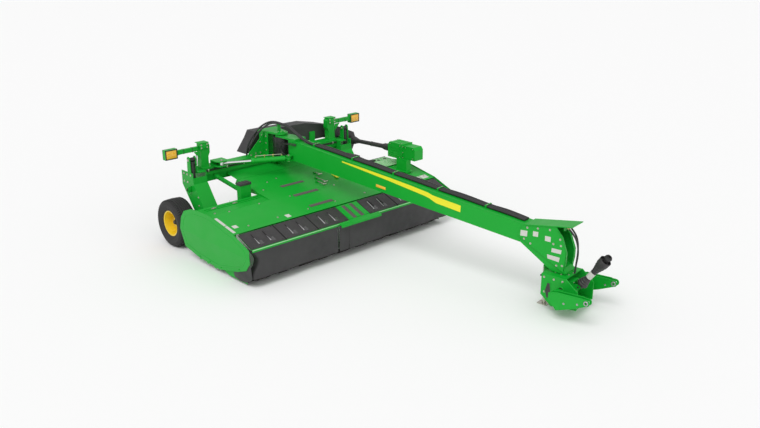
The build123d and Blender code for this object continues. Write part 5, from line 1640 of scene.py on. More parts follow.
    def panel_trim(self, side: int, name: str) -> None:
        """Fold the wedges of one door's three moulded panels and add its trim: crest bars whose pale colour is a
        painted highlight, near-black strips that paint the shade in the gaps between panels, and the rolled lip, whose
        pale green is a painted highlight.

        Args:
            side: 1 on the left, -1 on the right.
            name: left or right.
        """
        wedges, highlight_crests, seam_shades, screws = [], [], [], []
        first, last = self.panels
        width = (last - first) / 3
        for index in range(3):
            start = first + index * width
            for share in (0.3, 0.64):
                x = side * (start + width * share)
                foot = ((-0.04, 0.16, 0.0125), (0.04, 0.16, 0.0125), (0.017, 0.34, 0.03), (-0.017, 0.34, 0.03))
                corners = [self.on_door(x + aside, down, lift) for aside, down, lift in foot]
                wedges.append(BENCH.plate(corners, -self.out_door(x), 0.01, 0.0012))
                # A pale bar on the same edge of every wedge, on both doors, paints the highlight on the wedge's crest.
                highlight_crest = (self.on_door(x - 0.046, 0.2, 0.015), self.on_door(x - 0.03, 0.72, 0.015))
                highlight_crests.append(BENCH.bar(*highlight_crest, 0.0095, 16, 0.003))
            # A near-black strip along each gap between panels paints the shade that falls in the gap.
            if index:
                groove = ((-0.012, 0.02), (0.012, 0.02), (0.012, 0.97), (-0.012, 0.97))
                corners = [self.on_door(side * start + aside, down, 0.013) for aside, down in groove]
                seam_shades.append(BENCH.plate(corners, -self.out_door(), 0.003))
            for share in (0.07, 0.93):
                x = side * (start + width * share)
                screws += [
                    BENCH.bolt(self.on_door(x, down, 0.0122), self.out_door(x, down), 0.0065)
                    for down in (0.1, 0.9)
                ]
        body = f"door_{name}"
        BENCH.group(wedges, f"panel_wedges_{name}", WEDGE_PLASTIC, body)
        # The lip bead is glossy, and its pale green is a painted highlight along the lip.
        lip = [self.on_door(side * x, -0.006, -0.004) for x in self.panels]
        BENCH.finish(BENCH.bar(*lip, 0.0075, 16, 0.002), f"door_lip_{name}", HIGHLIGHT_LIP_GREEN, body)
        BENCH.group(screws, f"panel_screws_{name}", BLACK_GLOSS, body)
        BENCH.group(highlight_crests, f"panel_crests_{name}", HIGHLIGHT_CREST_PLASTIC, body)
        BENCH.group(seam_shades, f"panel_seals_{name}", SEAM_SHADE_BLACK, body)

    def seams(self) -> None:
        """Lay the weld beads where the raised middle meets the side decks."""
        beads = []
        for x in (-self.half * 0.999, self.half * 0.999):
            beads += BENCH.beads([self.on(x, 1.01), self.on(x, 1.88)])
        for low, high in ((-2.12, -1.01), (1.01, 2.12)):
            beads += BENCH.beads([self.on(low, 1.0, -0.001), self.on(high, 1.0, -0.001)], 0.003)
        BENCH.group(beads, "deck_weld_beads", LEAF_GREEN)


@dataclass
class HeaderEnd:
    """Bead, flap and bolts of one of the header's end panels.

    Attributes:
        name: left or right.
        side: 1 on the left, -1 on the right.
        half: How far the upper part of each panel lies from the middle.
        lean: How far its foot leans in.
        fold: The height at which the lean starts.
        bead: The radius of the pressed bead.
    """

    name: str
    side: int
    half: float = 2.14
    lean: float = 0.06
    fold: float = 0.48
    bead: float = 0.0075

    def x(self, z: float) -> float:
        """Return how far the panel's outer face lies from the middle at a height."""
        return self.half - self.lean * max(0.0, self.fold - z) / self.fold

    def on(self, y: float, z: float, lift: float = 0.0) -> Vector:
        """Return a place on an end panel."""
        return machine(self.side * (self.x(z) + lift), y, z)

    def build(self) -> None:
        """Model the panel's trim."""
        self.crease()
        self.flap()
        self.fixings()

    def crease(self) -> None:
        """Press a raised bead round the panel, a hand's breadth inside its edge."""
        inner = [
            (0.085, 0.44), (0.095, 0.58), (0.4, 0.705), (1.0, 0.835), (1.46, 0.822), (1.65, 0.745), (1.72, 0.64),
            (1.765, 0.49), (1.715, 0.255), (1.42, 0.182), (0.86, 0.135), (0.39, 0.245), (0.185, 0.33),
        ]
        corners = [self.on(y, z, -0.004) for y, z in inner]
        made = []
        for start, end in zip(corners, corners[1:] + corners[:1]):
            made += BENCH.beads([start, end], self.bead, 12)
            BENCH.clear()
            bpy.ops.mesh.primitive_uv_sphere_add(segments=12, ring_count=8, radius=self.bead, location=start)
            made.append(bpy.context.object)
        BENCH.group(made, f"end_panel_bead_{self.name}", LEAF_GREEN)

    def flap(self) -> None:
        """Hang the rubber flap below the panel's front, over the skid's end."""
        outline = (
            (-0.01, 0.405), (0.11, 0.29), (0.35, 0.2), (0.48, 0.16), (0.47, 0.06), (0.33, 0.04),
            (0.18, 0.052), (0.06, 0.11), (0, 0.16),
        )
        corners = [self.on(y, z, -0.014) for y, z in outline]
        flap = BENCH.plate(corners, Vector((self.side, 0, 0)), 0.006, 0.001)
        BENCH.finish(flap, f"end_flap_{self.name}", CURTAIN_RUBBER)

    def fixings(self) -> None:
        """Bolt the panel to the header along its lower edge."""
        BENCH.group([
            BENCH.bolt(self.on(y, z), Vector((self.side, 0, 0)), 0.009)
            for y, z in ((0.3, 0.235), (0.8, 0.11), (1.1, 0.12), (1.38, 0.13))
        ], f"end_panel_bolts_{self.name}", LEAF_GREEN)


@dataclass
class Lamp:
    """Lenses, bracket, cable and low red lamp of one side of the rear frame.

    Attributes:
        name: left or right.
        side: 1 on the left, -1 on the right.
        inner: The nearest edge of a lamp box from the machine's middle.
        outer: Its farthest edge.
        front: Its front face, in machine axes.
        back: Its rear face.
        high: The height of its middle.
    """

    name: str
    side: int
    inner: float = 1.846
    outer: float = 2.06
    front: float = 2.26
    back: float = 2.33
    high: float = 1.56

    def build(self) -> None:
        """Model the trim of the lamp and the low lamp."""
        self.lens()
        self.cable()
        self.low_lamp()
        self.bracket()

    def lens(self) -> None:
        """Model the ribbed lenses, amber before and red behind, their screws and their frames."""
        middle = self.side * (self.inner + self.outer) / 2
        radius = 0.04
        rings = (
            (0, 0), (0, 0.0185), (radius * 0.35, 0.0175), (radius * 0.38, 0.0145),
            (radius * 0.62, 0.0165), (radius * 0.66, 0.0135), (radius * 0.92, 0.0145),
            (radius, 0.0115), (radius * 1.04, 0),
        )
        faces = ((self.front, -1), (self.back, 1))
        for (face, sign), tag, look in zip(faces, ("front", "rear"), (AMBER_LENS, RED_LENS)):
            made = [BENCH.box(machine(middle, face + sign * 0.0053, self.high), (0.178, 0.01, 0.124))]
            for aside in (-0.047, 0.047):
                made.append(BENCH.lathe(rings, machine(middle + aside, face, self.high), Vector((0, sign, 0)), 40))
            lens = BENCH.group(made, f"lamp_{self.name}_{tag}_lens", look)
            if self.side > 0 and sign < 0:
                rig.replaces(lens, "lamp_lenses")
        BENCH.group([
            BENCH.bolt(machine(middle + along, face, high), Vector((0, sign, 0)), 0.0045)
            for along in (-0.094, 0.094) for high in (1.49, 1.63) for face, sign in faces
        ], f"lamp_screws_{self.name}", ZINC)
        rims = []
        for face, sign in faces:
            y = face + sign * 0.006
            for along in (-0.101, 0.101):
                rims.append(BENCH.box(machine(middle + along, y, self.high), (0.012, 0.016, 0.16), 0.003))
            for high in (1.486, 1.634):
                rims.append(BENCH.box(machine(middle, y, high), (0.214, 0.016, 0.012), 0.003))
        BENCH.group(rims, f"lamp_frame_{self.name}", BLACK_GLOSS)

    def cable(self) -> None:
        """Lead a thin cable from the lamp along its arm and down the post."""
        points = (
            (self.inner + 0.02, 2.333, 1.52), (self.inner - 0.04, 2.34, 1.505), (1.72, 2.33, 1.522),
            (1.62, 2.33, 1.515), (1.5, 2.34, 1.524), (1.452, 2.352, 1.5), (1.448, 2.356, 1.4),
            (1.44, 2.358, 1.3), (1.42, 2.4, 1.262),
        )
        route = [machine(self.side * x, y, z) for x, y, z in points]
        BENCH.hose(route, 0.005, f"lamp_cable_{self.name}", HOSE_RUBBER)
        BENCH.group([
            BENCH.box(machine(self.side * x, 2.2955, 1.5645), (0.008, 0.06, 0.078), 0.0015) for x in (1.56, 1.72)
        ], f"lamp_cable_ties_{self.name}", BLACK_GLOSS)

    def low_lamp(self) -> None:
        """Fix a red lamp on a short bracket at the frame leg's outer plate."""
        plate = BENCH.box(machine(self.side * 1.735, 2.14, 0.965), (0.08, 0.006, 0.1))
        BENCH.finish(plate, f"low_lamp_bracket_{self.name}", LEAF_GREEN)
        base = ((0, 0), (0, 0.02), (0.034, 0.02), (0.038, 0.016), (0.038, 0))
        lens = ((0, 0.019), (0, 0.036), (0.012, 0.0355), (0.026, 0.032), (0.034, 0.024), (0.034, 0.019))
        for tag, profile, look in (("base", base, BLACK_GLOSS), ("lens", lens, RED_LENS)):
            turned = BENCH.lathe(profile, machine(self.side * 1.748, 2.143, 0.965), Vector((0, 1, 0)), 36)
            BENCH.finish(turned, f"low_lamp_{tag}_{self.name}", look)

    def bracket(self) -> None:
        """Cap the lamp post with its folded bracket, bolts and gusset."""
        cap = BENCH.box(machine(self.side * 1.365, 2.23, 1.6), (0.168, 0.014, 0.092), 0.003)
        strap = BENCH.box(machine(self.side * 1.365, 2.295, 1.655), (0.176, 0.15, 0.01), 0.003)
        corners = [machine(self.side * x, 2.238, z) for x, z in ((1.44, 1.53), (1.56, 1.53), (1.44, 1.4))]
        web = BENCH.plate(corners, Vector((0, 1, 0)), 0.01, 0.0015)
        BENCH.group([cap, strap, web], f"post_bracket_{self.name}", LEAF_GREEN)
        BENCH.group([
            BENCH.bolt(machine(self.side * x, 2.223, z), Vector((0, -1, 0)), 0.01)
            for x in (1.31, 1.42) for z in (1.575, 1.625)
        ], f"post_bolts_{self.name}", ZINC)


@dataclass
class Cylinders:
    """Glands, ports, pipes and pins of the swing and lift cylinders.

    Attributes:
        swing_lug: (s, off, z) of the swing cylinder's eye on the tongue.
        swing_anchor: Its rod's eye on the frame, in machine axes.
        lift_x: How far the lift cylinders lie from the middle.
        lift_top: (y, z) of their upper eyes.
        lift_foot: (y, z) of their lower eyes.
    """

    swing_lug: Triple = (0.35, -0.19, 1.3)
    swing_anchor: Triple = (-1.15, 2.08, 1.3)
    lift_x: float = 1.632
    lift_top: Pair = (2.2, 1.43)
    lift_foot: Pair = (2.15, 0.47)

    def build(self) -> None:
        """Model the swing cylinder's and both lift cylinders' trim."""
        start = tongue(*self.swing_lug)
        end = machine(*self.swing_anchor)
        self.trim("swing", start, end, (0.066, 0.63), 0.042, "swing_barrel", LEAF_GREEN, UP)
        self.pins("swing", start, UP, 0.046, 0.018, "swing_barrel")
        self.pins("swing_anchor", end, UP, 0.047, 0.018, "chassis")
        for side, name in SIDES:
            top = machine(side * self.lift_x, *self.lift_top)
            foot = machine(side * self.lift_x, *self.lift_foot)
            barrel = f"lift_barrel_{name}"
            reach = (top.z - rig.box(barrel)[0].z) / abs((foot - top).normalized().z)
            toward = Vector((-side * 0.4, 0.9, 0))
            self.trim(f"lift_{name}", top, foot, (0.06, reach), 0.038, barrel, BLACK_GLOSS, toward)
            self.pins(f"lift_top_{name}", top, Vector((1, 0, 0)), 0.064, 0.016, "chassis")

    def trim(
        self, name: str, start: Vector, end: Vector, reach: Pair,
        radius: float, body: str, look: Finish, toward: Vector,
    ) -> None:
        """Add the gland, the end cap, two ports, their fittings and a pipe.

        Args:
            name: The cylinder's name.
            start: The barrel's eye.
            end: The rod's eye.
            reach: Where the barrel starts and ends, from its eye.
            radius: The barrel's radius.
            body: The barrel's body.
            look: The barrel's finish.
            toward: The side its ports look to.
        """
        line = (end - start).normalized()
        out = (toward - line * toward.dot(line)).normalized()
        low, high = reach
        gland = (
            (radius - 0.002, high - 0.052), (radius + 0.0055, high - 0.05), (radius + 0.006, high - 0.014),
            (radius + 0.0035, high - 0.01), (radius + 0.0035, high - 0.003), (radius - 0.001, high + 0.0015),
            (radius * 0.62, high + 0.004), (radius * 0.62, high - 0.003), (radius - 0.002, high - 0.004),
        )
        foot = (
            (radius - 0.002, low - 0.001), (radius + 0.0035, low + 0.002), (radius + 0.0035, low + 0.03),
            (radius - 0.002, low + 0.036),
        )
        made = [BENCH.lathe(profile, start, line, 40) for profile in (gland, foot)]
        fittings = []
        for along in (low + 0.05, high - 0.075):
            seat = start + line * along + out * (radius - 0.004)
            made.append(BENCH.bar(seat, seat + out * 0.022, 0.0155))
            fittings.append(BENCH.bar(seat + out * 0.016, seat + out * 0.03, 0.0135, 6, 0.001))
            fittings.append(BENCH.bar(seat + out * 0.026, seat + out * 0.04, 0.0085, 16, 0.001))
        BENCH.group(made, f"{name}_gland", look, body)
        first = start + line * (low + 0.05) + out * (radius + 0.028)
        last = start + line * (high - 0.075) + out * (radius + 0.028)
        bend = line * 0.022
        pipe = [
            first, first + out * 0.006, first + out * 0.01 + bend * 0.6, first + out * 0.008 + bend * 1.8,
            last + out * 0.008 - bend * 1.8, last + out * 0.01 - bend * 0.6, last + out * 0.006, last,
        ]
        BENCH.hose(pipe, 0.0055, f"{name}_pipe", ZINC, body)
        for along in (0.33, 0.66):
            place = first + (last - first) * along + out * 0.008
            fittings.append(BENCH.bar(place - out * 0.04, place + out * 0.002, 0.008, 12, 0.001))
            fittings.append(BENCH.bar(place - line * 0.016, place + line * 0.016, 0.0105, 16, 0.001))
        BENCH.group(fittings, f"{name}_fittings", BRASS_FITTING, body)

    def pins(self, name: str, middle: Vector, axis: Vector, half: float, radius: float, body: str) -> None:
        """Fit the pin's two heads with their clips.

        Args:
            name: The pin's name.
            middle: Its middle.
            axis: Its direction.
            half: How far each head lies from the middle.
            radius: The pin's radius.
            body: The body it rides on.
        """
        made = []
        for hand in HANDS:
            way = axis * hand
            face = middle + way * half
            made.append(BENCH.bar(face, face + way * 0.006, radius * 1.45, 28, 0.001))
            made.append(BENCH.bar(face + way * 0.006, face + way * 0.016, radius * 0.96, 24, 0.002))
        clip = axis.orthogonal().normalized() * radius * 1.5
        head = middle + axis * (half + 0.011)
        made += BENCH.beads([head - clip, head + clip], 0.0028, 10)
        BENCH.group(made, f"{name}_pin_heads", ZINC, body)


@dataclass
class FloatSprings:
    """Coil springs that carry the header, one on each side.

    Attributes:
        x: How far each spring lies from the middle.
        start: (y, z) of its foot on the header's tower.
        end: (y, z) of its foot on the frame's beam.
        coil: The coil's radius, to the middle of its wire.
        wire: The wire's radius.
        turns: Turns of the coil.
        steps: Facets on each turn.
    """

    x: float = 1.175
    start: Pair = (1.5003, 0.96)
    end: Pair = (2.2337, 1.06)
    coil: float = 0.0295
    wire: float = 0.0072
    turns: int = 30
    steps: int = 18

    def build(self) -> None:
        """Model both springs, their rods, feet and the towers' caps."""
        coils = []
        rods = []
        caps = []
        cup = ((0, 0.016), (0.04, 0.02), (0.041, 0.05), (0.038, 0.078), (0.034, 0.082), (0, 0.082))
        for side in HANDS:
            foot = machine(side * self.x, *self.start)
            head = machine(side * self.x, *self.end)
            line = (head - foot).normalized()
            coils.append(self.spring(foot + line * 0.07, line, (head - foot).length - 0.15))
            rods += BENCH.beads([foot + line * 0.01, head - line * 0.01], 0.0125, 24)
            for place, hand in ((foot, 1), (head, -1)):
                flat = Vector((0, hand, 0))
                rods.append(BENCH.box(place + flat * 0.012, (0.096, 0.0236, 0.096), 0.003))
                rods.append(BENCH.lathe(cup, place, line * hand, 36))
                rods += [
                    BENCH.bolt(place + flat * 0.0236 + Vector((across, 0, high)), flat, 0.0075)
                    for across in (-0.034, 0.034) for high in (-0.034, 0.034)
                ]
            rods.append(BENCH.bar(head - line * 0.16, head - line * 0.12, 0.02, 6, 0.002))
            caps.append(self.cap(side))
        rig.replaces(BENCH.group(coils, "float_coils", LEAF_GREEN), "float_springs")
        BENCH.group(rods, "float_rods", LEAF_GREEN)
        BENCH.group(caps, "float_tower_caps", MOULDED_PLASTIC)

    def spring(self, foot: Vector, line: Vector, length: float) -> Piece:
        """Wind one coil spring from a ring of wire.

        Args:
            foot: Its foot.
            line: The way it runs.
            length: How long it is.

        Returns:
            The spring.
        """
        BENCH.clear()
        bpy.ops.mesh.primitive_circle_add(
            vertices=8, radius=self.wire, location=(self.coil, 0, 0), rotation=(math.pi / 2, 0, 0),
        )
        coil = bpy.context.object
        BENCH.settle(coil)
        wind = coil.modifiers.new("wind", "SCREW")
        wind.angle = 2 * math.pi
        wind.screw_offset = length / self.turns
        wind.iterations = self.turns
        wind.steps = self.steps
        wind.render_steps = self.steps
        bpy.ops.object.modifier_apply(modifier=wind.name)
        BENCH.stand(coil.data, foot, line)
        BENCH.outward(coil)
        BENCH.smooth(coil, 60)
        return coil

    def cap(self, side: int) -> Piece:
        """Model the moulded cap on one tower: a lid with three low ridges.

        Args:
            side: 1 on the left, -1 on the right.

        Returns:
            The cap.
        """
        middle = side * self.x
        lid = BENCH.box(machine(middle, 1.443, 1.1022), (0.21, 0.134, 0.0434), 0.008)
        ridges = [
            BENCH.box(machine(middle + across, 1.443, 1.1245), (0.014, 0.11, 0.01), 0.003)
            for across in (-0.06, 0.0, 0.06)
        ]
        return BENCH.join([lid, *ridges])


@dataclass
class DriveBox:
    """Seams, bolts and plugs of the drive box, its step and the header's shaft.

    Attributes:
        inner: The box's side that looks to the machine's middle.
        outer: Its other side.
        low: Its underside.
        top: Its top.
        rear_joint: Rear joint of the shaft, in machine axes.
        front_joint: Front joint of the shaft.
    """

    inner: float = 1.8
    outer: float = 2.05
    low: float = 1.05
    top: float = 1.325
    rear_joint: Triple = (1.985, 2.3597, 1.11)
    front_joint: Triple = (1.905, 1.2703, 1.18)

    def build(self) -> None:
        """Model the drive box's trim, the step's holes and the shaft's guards."""
        self.cover()
        self.bolts()
        self.guards()
        self.step()
        self.feeds()

    def feeds(self) -> None:
        """Loop two hoses from the frame's beam down to the step plate."""
        route = (
            (1.08, 2.24, 1.005), (1.08, 2.18, 0.99), (1.09, 2.0, 1.04), (1.14, 1.85, 1.09), (1.23, 1.7, 1.105),
            (1.34, 1.58, 1.06), (1.45, 1.5, 0.985), (1.56, 1.455, 0.938), (1.68, 1.44, 0.934),
        )
        for index, aside in enumerate((0, 0.034)):
            points = [machine(x + aside, y, z) for x, y, z in route]
            BENCH.hose(points, 0.015, f"feed_hose_{index + 1}", HOSE_RUBBER)

    def cover(self) -> None:
        """Fold the flange between the covers, with the covers' ribs."""
        ribs = [BENCH.box(
            machine((self.inner + self.outer) / 2, 0.842, (self.low + self.top) / 2),
            (self.outer - self.inner + 0.016, 0.014, self.top - self.low + 0.014), 0.004,
        )]
        for z in (1.095, 1.145, 1.195, 1.245):
            ribs.append(BENCH.box(machine(self.inner - 0.002, 1.02, z), (0.01, 0.27, 0.008), 0.0025))
        for y in (0.92, 1.0, 1.08):
            ribs.append(BENCH.box(machine(1.925, y, self.top + 0.001), (0.19, 0.01, 0.01), 0.003))
        BENCH.group(ribs, "drive_box_ribs", LEAF_GREEN)
        gasket = BENCH.box(machine(1.925, 0.8515, 1.1875), (0.2535, 0.006, 0.2785), 0.001)
        BENCH.finish(gasket, "drive_box_gasket", BLACK_GLOSS)

    def bolts(self) -> None:
        """Bolt the box's flange, side and top, and set it on its base."""
        size = 0.0085
        ahead, inward = Vector((0, -1, 0)), Vector((-1, 0, 0))
        bolts = [
            BENCH.bolt(machine(x, 0.8345, z), ahead, size)
            for z in (1.085, 1.18, 1.285) for x in (self.inner + 0.012, self.outer - 0.012)
        ]
        for y, z in ((0.6, 1.1), (0.6, 1.275), (0.78, 1.275), (0.9, 1.29), (1.15, 1.29), (1.15, 1.08), (0.9, 1.08)):
            bolts.append(BENCH.bolt(machine(1.82 if y < 0.845 else self.inner, y, z), inward, size))
        bolts += [BENCH.bolt(machine(x, y, self.top), UP, size) for x in (1.84, 2.01) for y in (0.89, 1.16)]
        BENCH.group(bolts, "drive_box_bolts", ZINC)
        base = BENCH.box(machine(1.815, 0.815, 0.862), (0.17, 0.3, 0.012), 0.003)
        BENCH.finish(base, "drive_box_base", LEAF_GREEN)

    def guards(self) -> None:
        """Turn the shaft's bell guards and the step of its telescoping tubes."""
        rear = machine(*self.rear_joint)
        front = machine(*self.front_joint)
        line = (front - rear).normalized()
        length = (front - rear).length
        made = []
        for place, way, wide in ((rear, line, 0.078), (front, -line, 0.068)):
            bell = (
                (0.036, 0.19), (0.044, 0.188), (0.046, 0.15), (0.054, 0.143), (0.054, 0.118),
                (0.062, 0.111), (0.062, 0.086), (wide - 0.006, 0.079), (wide - 0.004, 0.05),
                (wide, 0.044), (wide, -0.012), (wide - 0.005, -0.012), (wide - 0.005, 0.04),
                (0.056, 0.078), (0.036, 0.14),
            )
            made.append(BENCH.lathe(bell, place, way, 44))
        half = length * 0.52
        step = (
            (0.036, half), (0.0435, half + 0.002), (0.0445, half + 0.03), (0.0415, half + 0.034),
            (0.0415, length - 0.18), (0.036, length - 0.178),
        )
        made.append(BENCH.lathe(step, rear, line, 40))
        BENCH.group(made, "drive_shaft_guards", MOULDED_PLASTIC)

    def step(self) -> None:
        """Raise round treads on the step plate, rim its two holes, fill them with dark discs as painted shade, and cap
        its end.
        """
        tread = ((0.01, 0), (0.0165, 0), (0.0155, 0.004), (0.0125, 0.005), (0.01, 0.003))
        BENCH.group([
            BENCH.lathe(tread, machine(1.68 + column * 0.082, 1.125 + row * 0.094, 0.9175), UP, 16)
            for column in range(5) for row in range(5)
        ], "step_treads", GRIP_PAINT)
        # Each hole is a dark plastic disc inside a raised rim; the disc's darkness is painted shade for the open hole.
        hole = (
            (0, -0.002), (0.03, -0.002), (0.034, 0), (0.034, 0.0032), (0.029, 0.004),
            (0.026, 0.0015), (0, 0.0012),
        )
        holes = [BENCH.lathe(hole, machine(x, 1.454, 0.9178), UP, 28) for x in (1.803, 1.967)]
        BENCH.group(holes, "step_holes", MOULDED_PLASTIC)
        cap = BENCH.box(machine(1.845, 1.5615, 0.908), (0.456, 0.01, 0.032), 0.003)
        BENCH.finish(cap, "step_end_cap", MOULDED_PLASTIC)


@dataclass
class Gooseneck:
    """Blank plates, bolts, edges and the hose holder of the gooseneck.

    Attributes:
        side: How far its outer faces lie from the tongue's middle.
    """

    side: float = 0.1393

    def build(self) -> None:
        """Model the gooseneck's trim."""
        self.plates()
        self.fixings()
        self.edges()
        self.holder()

    def plates(self) -> None:
        """Lay the plain plates on its right side."""
        blanks = (
            ((4.8, 1.04), (4.905, 1.049), (4.902, 0.967), (4.797, 0.958)),
            ((4.991, 1.067), (5.071, 1.07), (5.069, 0.999), (4.991, 0.995)),
            ((5.174, 1.042), (5.261, 1.044), (5.261, 0.972), (5.177, 0.97)),
            ((5.286, 0.894), (5.43, 0.896), (5.426, 0.838), (5.282, 0.836)),
            ((5.222, 0.789), (5.412, 0.785), (5.403, 0.718), (5.232, 0.732)),
        )
        BENCH.group([
            BENCH.plate([tongue(s, -self.side - 0.0002, z) for s, z in blank], -AXES.across(), 0.0014)
            for blank in blanks
        ], "gooseneck_bare_plates", PALE_PLATE, "tongue")

    def fixings(self) -> None:
        """Bolt the side plates to the tongue and to the lower beam."""
        seen = (
            (5.305, 0.956), (5.417, 0.955), (5.4, 1.04), (5.453, 0.678), (5.37, 0.66),
            (4.86, 0.925), (4.96, 0.88), (4.9, 1.095), (5.06, 1.12), (5.24, 1.14),
        )
        BENCH.group([
            BENCH.bolt(tongue(s, hand * self.side, z), AXES.across() * hand, 0.0105)
            for hand in HANDS for s, z in seen
        ], "gooseneck_bolts", ZINC, "tongue")

    def edges(self) -> None:
        """Fold a flange inside the side plates' front edges, and weld the lower edges."""
        front = ((5.33, 1.168), (5.419, 1.068), (5.498, 0.863), (5.497, 0.734), (5.476, 0.6))
        flanges = []
        beads = []
        for hand in HANDS:
            off, inside = hand * self.side, hand * (self.side - 0.045)
            for (s0, z0), (s1, z1) in zip(front, front[1:]):
                corners = [tongue(s0, off, z0), tongue(s1, off, z1), tongue(s1, inside, z1), tongue(s0, inside, z0)]
                back = tongue(s0 - (z0 - z1), 0, z0 - (s1 - s0)) - tongue(s0, 0, z0)
                flanges.append(BENCH.plate(corners, back, 0.008, 0.001))
            beads += BENCH.beads([tongue(4.76, off, 0.957), tongue(5.474, off, 0.592)], 0.0045)
        BENCH.group(flanges, "gooseneck_flanges", LEAF_GREEN, "tongue")
        BENCH.group(beads, "gooseneck_beads", LEAF_GREEN, "tongue")

    def holder(self) -> None:
        """Hold the front hoses with a small loop before the top plate, and add their fittings."""
        fittings = []
        for off in (-0.035, 0.028):
            top = tongue(5.439, off, 1.198)
            out = (tongue(5.495, off, 1.146) - top).normalized()
            fittings.append(BENCH.bar(top - out * 0.02, top + out * 0.014, 0.0165, 6))
            fittings.append(BENCH.bar(top + out * 0.01, top + out * 0.04, 0.0142, 20, 0.001))
        BENCH.group(fittings, "front_hose_fittings", BRASS_FITTING, "tongue")
        made = [BENCH.box(tongue(5.428, 0, 1.2), (0.15, 0.03, 0.014), 0.003, math.radians(AXES.tongue_deg))]
        for off in (-0.06, 0.06):
            made += BENCH.beads([tongue(5.428, off, 1.2), tongue(5.428, off, 1.226)], 0.008, 16)
        BENCH.group(made, "front_hose_bracket", BLACK_GLOSS, "tongue")


@dataclass
class Hitch:
    """Ring, slots, link pins, shaft guards and jack of the hitch.

    Attributes:
        half: Half the hitch frame's width.
        pin: (s, z) of the link pins.
        link: How far they lie to each side.
        ear: Half the gap between the two ears of a link arm.
        pivot: (s, z) of the input shaft's joint.
        lift_deg: How far the shaft is tipped up at rest.
    """

    half: float = 0.24
    pin: Pair = (0.56, 0.393)
    link: float = 0.41
    ear: float = 0.04
    pivot: Pair = (0.25, 0.4)
    lift_deg: float = 54.0

    def along(self, reach: float) -> Vector:
        """Return a place on the input shaft at a distance from its joint."""
        turn = math.radians(self.lift_deg)
        return hitch(self.pivot[0] + reach * math.cos(turn), 0, self.pivot[1] + reach * math.sin(turn))

    def build(self) -> None:
        """Model the hitch's trim."""
        self.swivel()
        self.slots()
        self.pins()
        self.gearbox()
        self.shaft()
        self.jack()

    def swivel(self) -> None:
        """Turn the swivel's greased collar, with its ring of bolts."""
        collar = (
            (0.058, 0), (0.104, 0), (0.104, 0.007), (0.099, 0.01), (0.07, 0.01), (0.066, 0.007), (0.058, 0.007),
        )
        BENCH.finish(BENCH.lathe(collar, hitch(0, 0, 0.5475), UP, 56), "swivel_collar", LEAF_GREEN, "hitch")
        BENCH.group([
            BENCH.bolt(hitch(0.128 * ahead, 0.128 * across, 0.548), UP, 0.0095) for ahead, across in ring(8, 0.2)
        ], "swivel_bolts", ZINC, "hitch")
        nipple = BENCH.bar(hitch(-0.07, -0.095, 0.545), hitch(-0.07, -0.095, 0.57), 0.004, 10, 0.001)
        BENCH.finish(nipple, "swivel_grease_nipple", BRASS_FITTING, "hitch")

    def slots(self) -> None:
        """Rim the slot and the hole of each side plate, fill both with thin black plates as painted shade, and flange
        and bolt the plates.
        """
        lines = (
            ((-0.205, 0.25), (-0.04, 0.11), (0.33, 0.15)), ((0.15, 0.548), (0.33, 0.4), (0.33, 0.15)),
        )
        slot = ((-0.138, 0.318), (-0.108, 0.43), (-0.072, 0.43), (-0.058, 0.318), (-0.07, 0.215), (-0.108, 0.215))
        rim = ((-0.15, 0.32), (-0.116, 0.444), (-0.064, 0.444), (-0.046, 0.318), (-0.06, 0.2), (-0.118, 0.2))
        hole = ((0.03, -0.002), (0.044, -0.002), (0.044, 0.008), (0.04, 0.011), (0.03, 0.011))
        hole_shade = ((0, -0.001), (0.031, -0.001), (0.031, 0.004), (0, 0.004))
        rims = []
        shade_fills = []
        flanges = []
        for hand in HANDS:
            out = AXES.across() * hand
            rims.append(BENCH.plate([hitch(s, hand * self.half, z) for s, z in rim], out, 0.006, 0.002))
            # Thin black plates fill the slot and the hole: painted shade standing in for the openings.
            shade_fills.append(BENCH.plate([hitch(s, hand * (self.half + 0.0055), z) for s, z in slot], out, 0.001))
            centre = hitch(0.095, hand * self.half, 0.385)
            rims.append(BENCH.lathe(hole, centre, out, 36))
            shade_fills.append(BENCH.lathe(hole_shade, centre, out, 36))
            for line in lines:
                flanges += BENCH.beads([hitch(s, hand * (self.half - 0.006), z) for s, z in line], 0.0095, 14)
        BENCH.group(rims, "hitch_slot_rims", LEAF_GREEN, "hitch")
        BENCH.group(shade_fills, "hitch_slot_insides", BLACK_GLOSS, "hitch")
        BENCH.group(flanges, "hitch_edge_flanges", LEAF_GREEN, "hitch")
        seen = ((-0.165, 0.5), (-0.02, 0.5), (0.11, 0.5), (-0.15, 0.29), (0.18, 0.2), (0.27, 0.2))
        BENCH.group([
            BENCH.bolt(hitch(s, hand * self.half, z), AXES.across() * hand, 0.0105)
            for hand in HANDS for s, z in seen
        ], "hitch_side_bolts", ZINC, "hitch")

    def pins(self) -> None:
        """Bush the ears of the link arms, and stiffen each arm with a folded edge."""
        bush = ((0.019, 0), (0.034, 0), (0.034, 0.008), (0.03, 0.011), (0.019, 0.011))
        edges = (
            ((0.06, 0.402), (0.14, 0.424), (0.5, 0.438)), ((0.14, 0.18), (0.35, 0.257), (0.525, 0.338)),
        )
        bushes = []
        folds = []
        for hand in HANDS:
            across = AXES.across() * hand
            inner, outer = hand * (self.link - self.ear), hand * (self.link + self.ear)
            for face, way in ((self.link - self.ear, -1), (self.link + self.ear, 1)):
                place = hitch(self.pin[0], hand * face, self.pin[1])
                bushes.append(BENCH.lathe(bush, place, across * way, 36))
                for edge in edges:
                    folds += BENCH.beads([hitch(s, hand * (face - way * 0.005), z) for s, z in edge], 0.0085, 12)
            for s, z in ((0.44, 0.345), (0.25, 0.3)):
                place, end = hitch(s, inner, z), hitch(s, outer, z)
                folds += BENCH.beads([place, end], 0.014, 20)
                bushes += [BENCH.bolt(end, across, 0.01), BENCH.bolt(place, -across, 0.01)]
        BENCH.group(bushes, "link_bushes", BARE_STEEL, "hitch")
        BENCH.group(folds, "link_arm_folds", LEAF_GREEN, "hitch")

